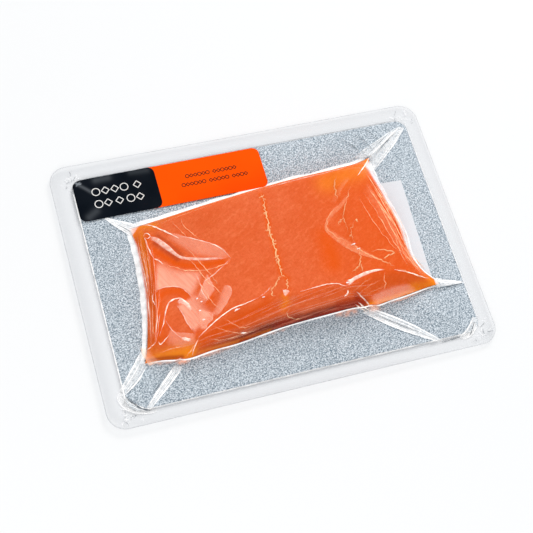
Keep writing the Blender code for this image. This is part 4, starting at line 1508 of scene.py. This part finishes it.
def build():
    """Makes every piece. A relief is in millimetres: how far a ridge or patch lifts off its
    surface, how far a ridge rises, and how far down it reaches."""
    film = sheet_finish()
    # The pale tints below are painted highlights and reflections, the dark one painted shade; all glow
    # as painted light, and only the juice's tint is its own.
    fold = tint_and_glow_finish("film_fold_highlight_look", FILM_HIGHLIGHT, 0.35, 0.2)
    veil_reflection = tint_and_glow_finish("film_veil_reflection_look", tone(255, 212, 184), 0.14, 0.35, (6.0, 0.6), STRAND_TURN)
    crease_highlight = tint_and_glow_finish("film_crease_highlight_look", tone(255, 236, 220), 0.35, 0.3)
    warm_highlight = tint_and_glow_finish("warm_fold_highlight_look", tone(255, 200, 150), 0.35, 0.3)
    dim = tint_and_glow_finish("film_shade_look", tone(96, 104, 112), 0.3, 0.1)
    juice = tint_and_glow_finish("juice_look", tone(252, 196, 172), 0.7, 0.2)
    edge = tint_and_glow_finish("film_edge_highlight_look", FILM_HIGHLIGHT, 0.12, 0.25)
    slant_sheen = tint_and_glow_finish("film_slant_sheen_look", tone(232, 230, 232), 0.15, 0.1, slanted=True)
    salmon()
    cover_film(film)
    base_sheet(film)
    silver_card()
    # Folds of the film, pale with painted highlights.
    folds("film_folds", FOLDS, crease_highlight, (0.06, 0.04, 0.5), 0.15)
    # Painted reflections where the film stands off the flesh.
    veils("film_veil_reflections", VEIL_REFLECTIONS, veil_reflection, (0.05, 0.6), 0.4, 0.15, 0.4)
    veils("warm_veil_reflections", WARM_VEIL_REFLECTIONS, warm_highlight, (0.05, 0.6), 0.4, 0.15, 0.3)
    # Painted highlights where the folds mirror the lights.
    veils("film_gleams", GLEAMS, crease_highlight, (0.06, 0.6), 0.3, 0.15, 0.3)
    # Thin folds with warm painted highlights.
    folds("warm_folds", WARM_FOLDS, warm_highlight, (0.05, 0.04, 0.5), 0.3)
    # The pleats' webs and their lines, pale with painted highlight.
    folds("pleat_creases", web_strokes(), fold, (0.03, 0.06, 0.2))
    veils("pleat_webs", WEBS, fold, (0.03, 0.06), 0.1, 0.03, 0.2)
    # Painted highlight bands at the fish's foot.
    side_bands("foot_highlights", FOOT_HIGHLIGHTS, edge)
    # A painted sheen over the fish's right end.
    side_bands("end_sheen", END_SHEEN, slant_sheen)
    # Painted highlights and painted shade along the card's bends, round the flange and in its corner
    # creases.
    bright = (*rim_paths((), HIGHLIGHT_BENDS), *crinkle_paths(31, 16))
    lines("rim_highlights", bright, fold, (0.02, 0.06, 0.1), 0.02)
    grey = (*rim_paths(SHADE_ROUNDS, SHADE_BENDS), *crinkle_paths(32, 9))
    lines("rim_shades", grey, dim, (0.02, 0.05, 0.1), 0.02)
    fat = fat_finish()
    folds("fat_veins", vein_strokes(), fat, (0.02, 0.08, 0.3), 0.6, fish_surface, "salmon_flesh")
    # Painted glints on the film.
    folds("film_glints", glint_strokes(), fold, (0.08, 0.03, 0.5), 0.4)
    # Lines of painted shade.
    folds("shade_lines", SHADE_LINES, dim, (0.12, 0.05, 0.2))
    veils("juice", JUICE, juice, (0.03, 0.03), 0.5, 0.3, 0.4, sheet_top, "salmon_flesh")
    # Streaks of painted highlight along the fish's sides.
    lines("film_streaks", streak_paths(PALE_STREAKS), veil_reflection, (0.05, 0.03, 0.4), 0.35)
    lines("warm_streaks", streak_paths(WARM_STREAKS), warm_highlight, (0.05, 0.03, 0.4), 0.35)
    orange = print_finish("orange_print_look", tone(252, 82, 0), tone(254, 86, 0), 0.5)
    black = print_finish("black_print_look", tone(6, 12, 20), tone(18, 23, 30), 0.35)
    box = np.array((ORANGE[0] - ORANGE_TUCK, ORANGE[1]))
    label("orange_sticker", box, orange, "orange_print", "orange_label", 0.05 * MM)
    label("black_sticker", BLACK, black, "black_print", "black_label", 0.22 * MM, SHEENS)
    pale = print_finish("pale_print_look", tone(226, 224, 220), tone(240, 238, 234), 0.4)
    dark = print_finish("dark_print_look", tone(70, 38, 24), tone(86, 44, 28), 0.4)
    marks("pale_marks", PALE_ROWS, 4.6 * MM, 5.6 * MM, 0.55 * MM, pale, "white_paper", 0.34 * MM)
    marks("dark_marks", DARK_ROWS, 2.2 * MM, 2.5 * MM, 0.45 * MM, dark, "black_print", 0.17 * MM)
    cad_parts["paper_slip"].material_slots[0].material = paper_finish()


build()
studio()
camera()
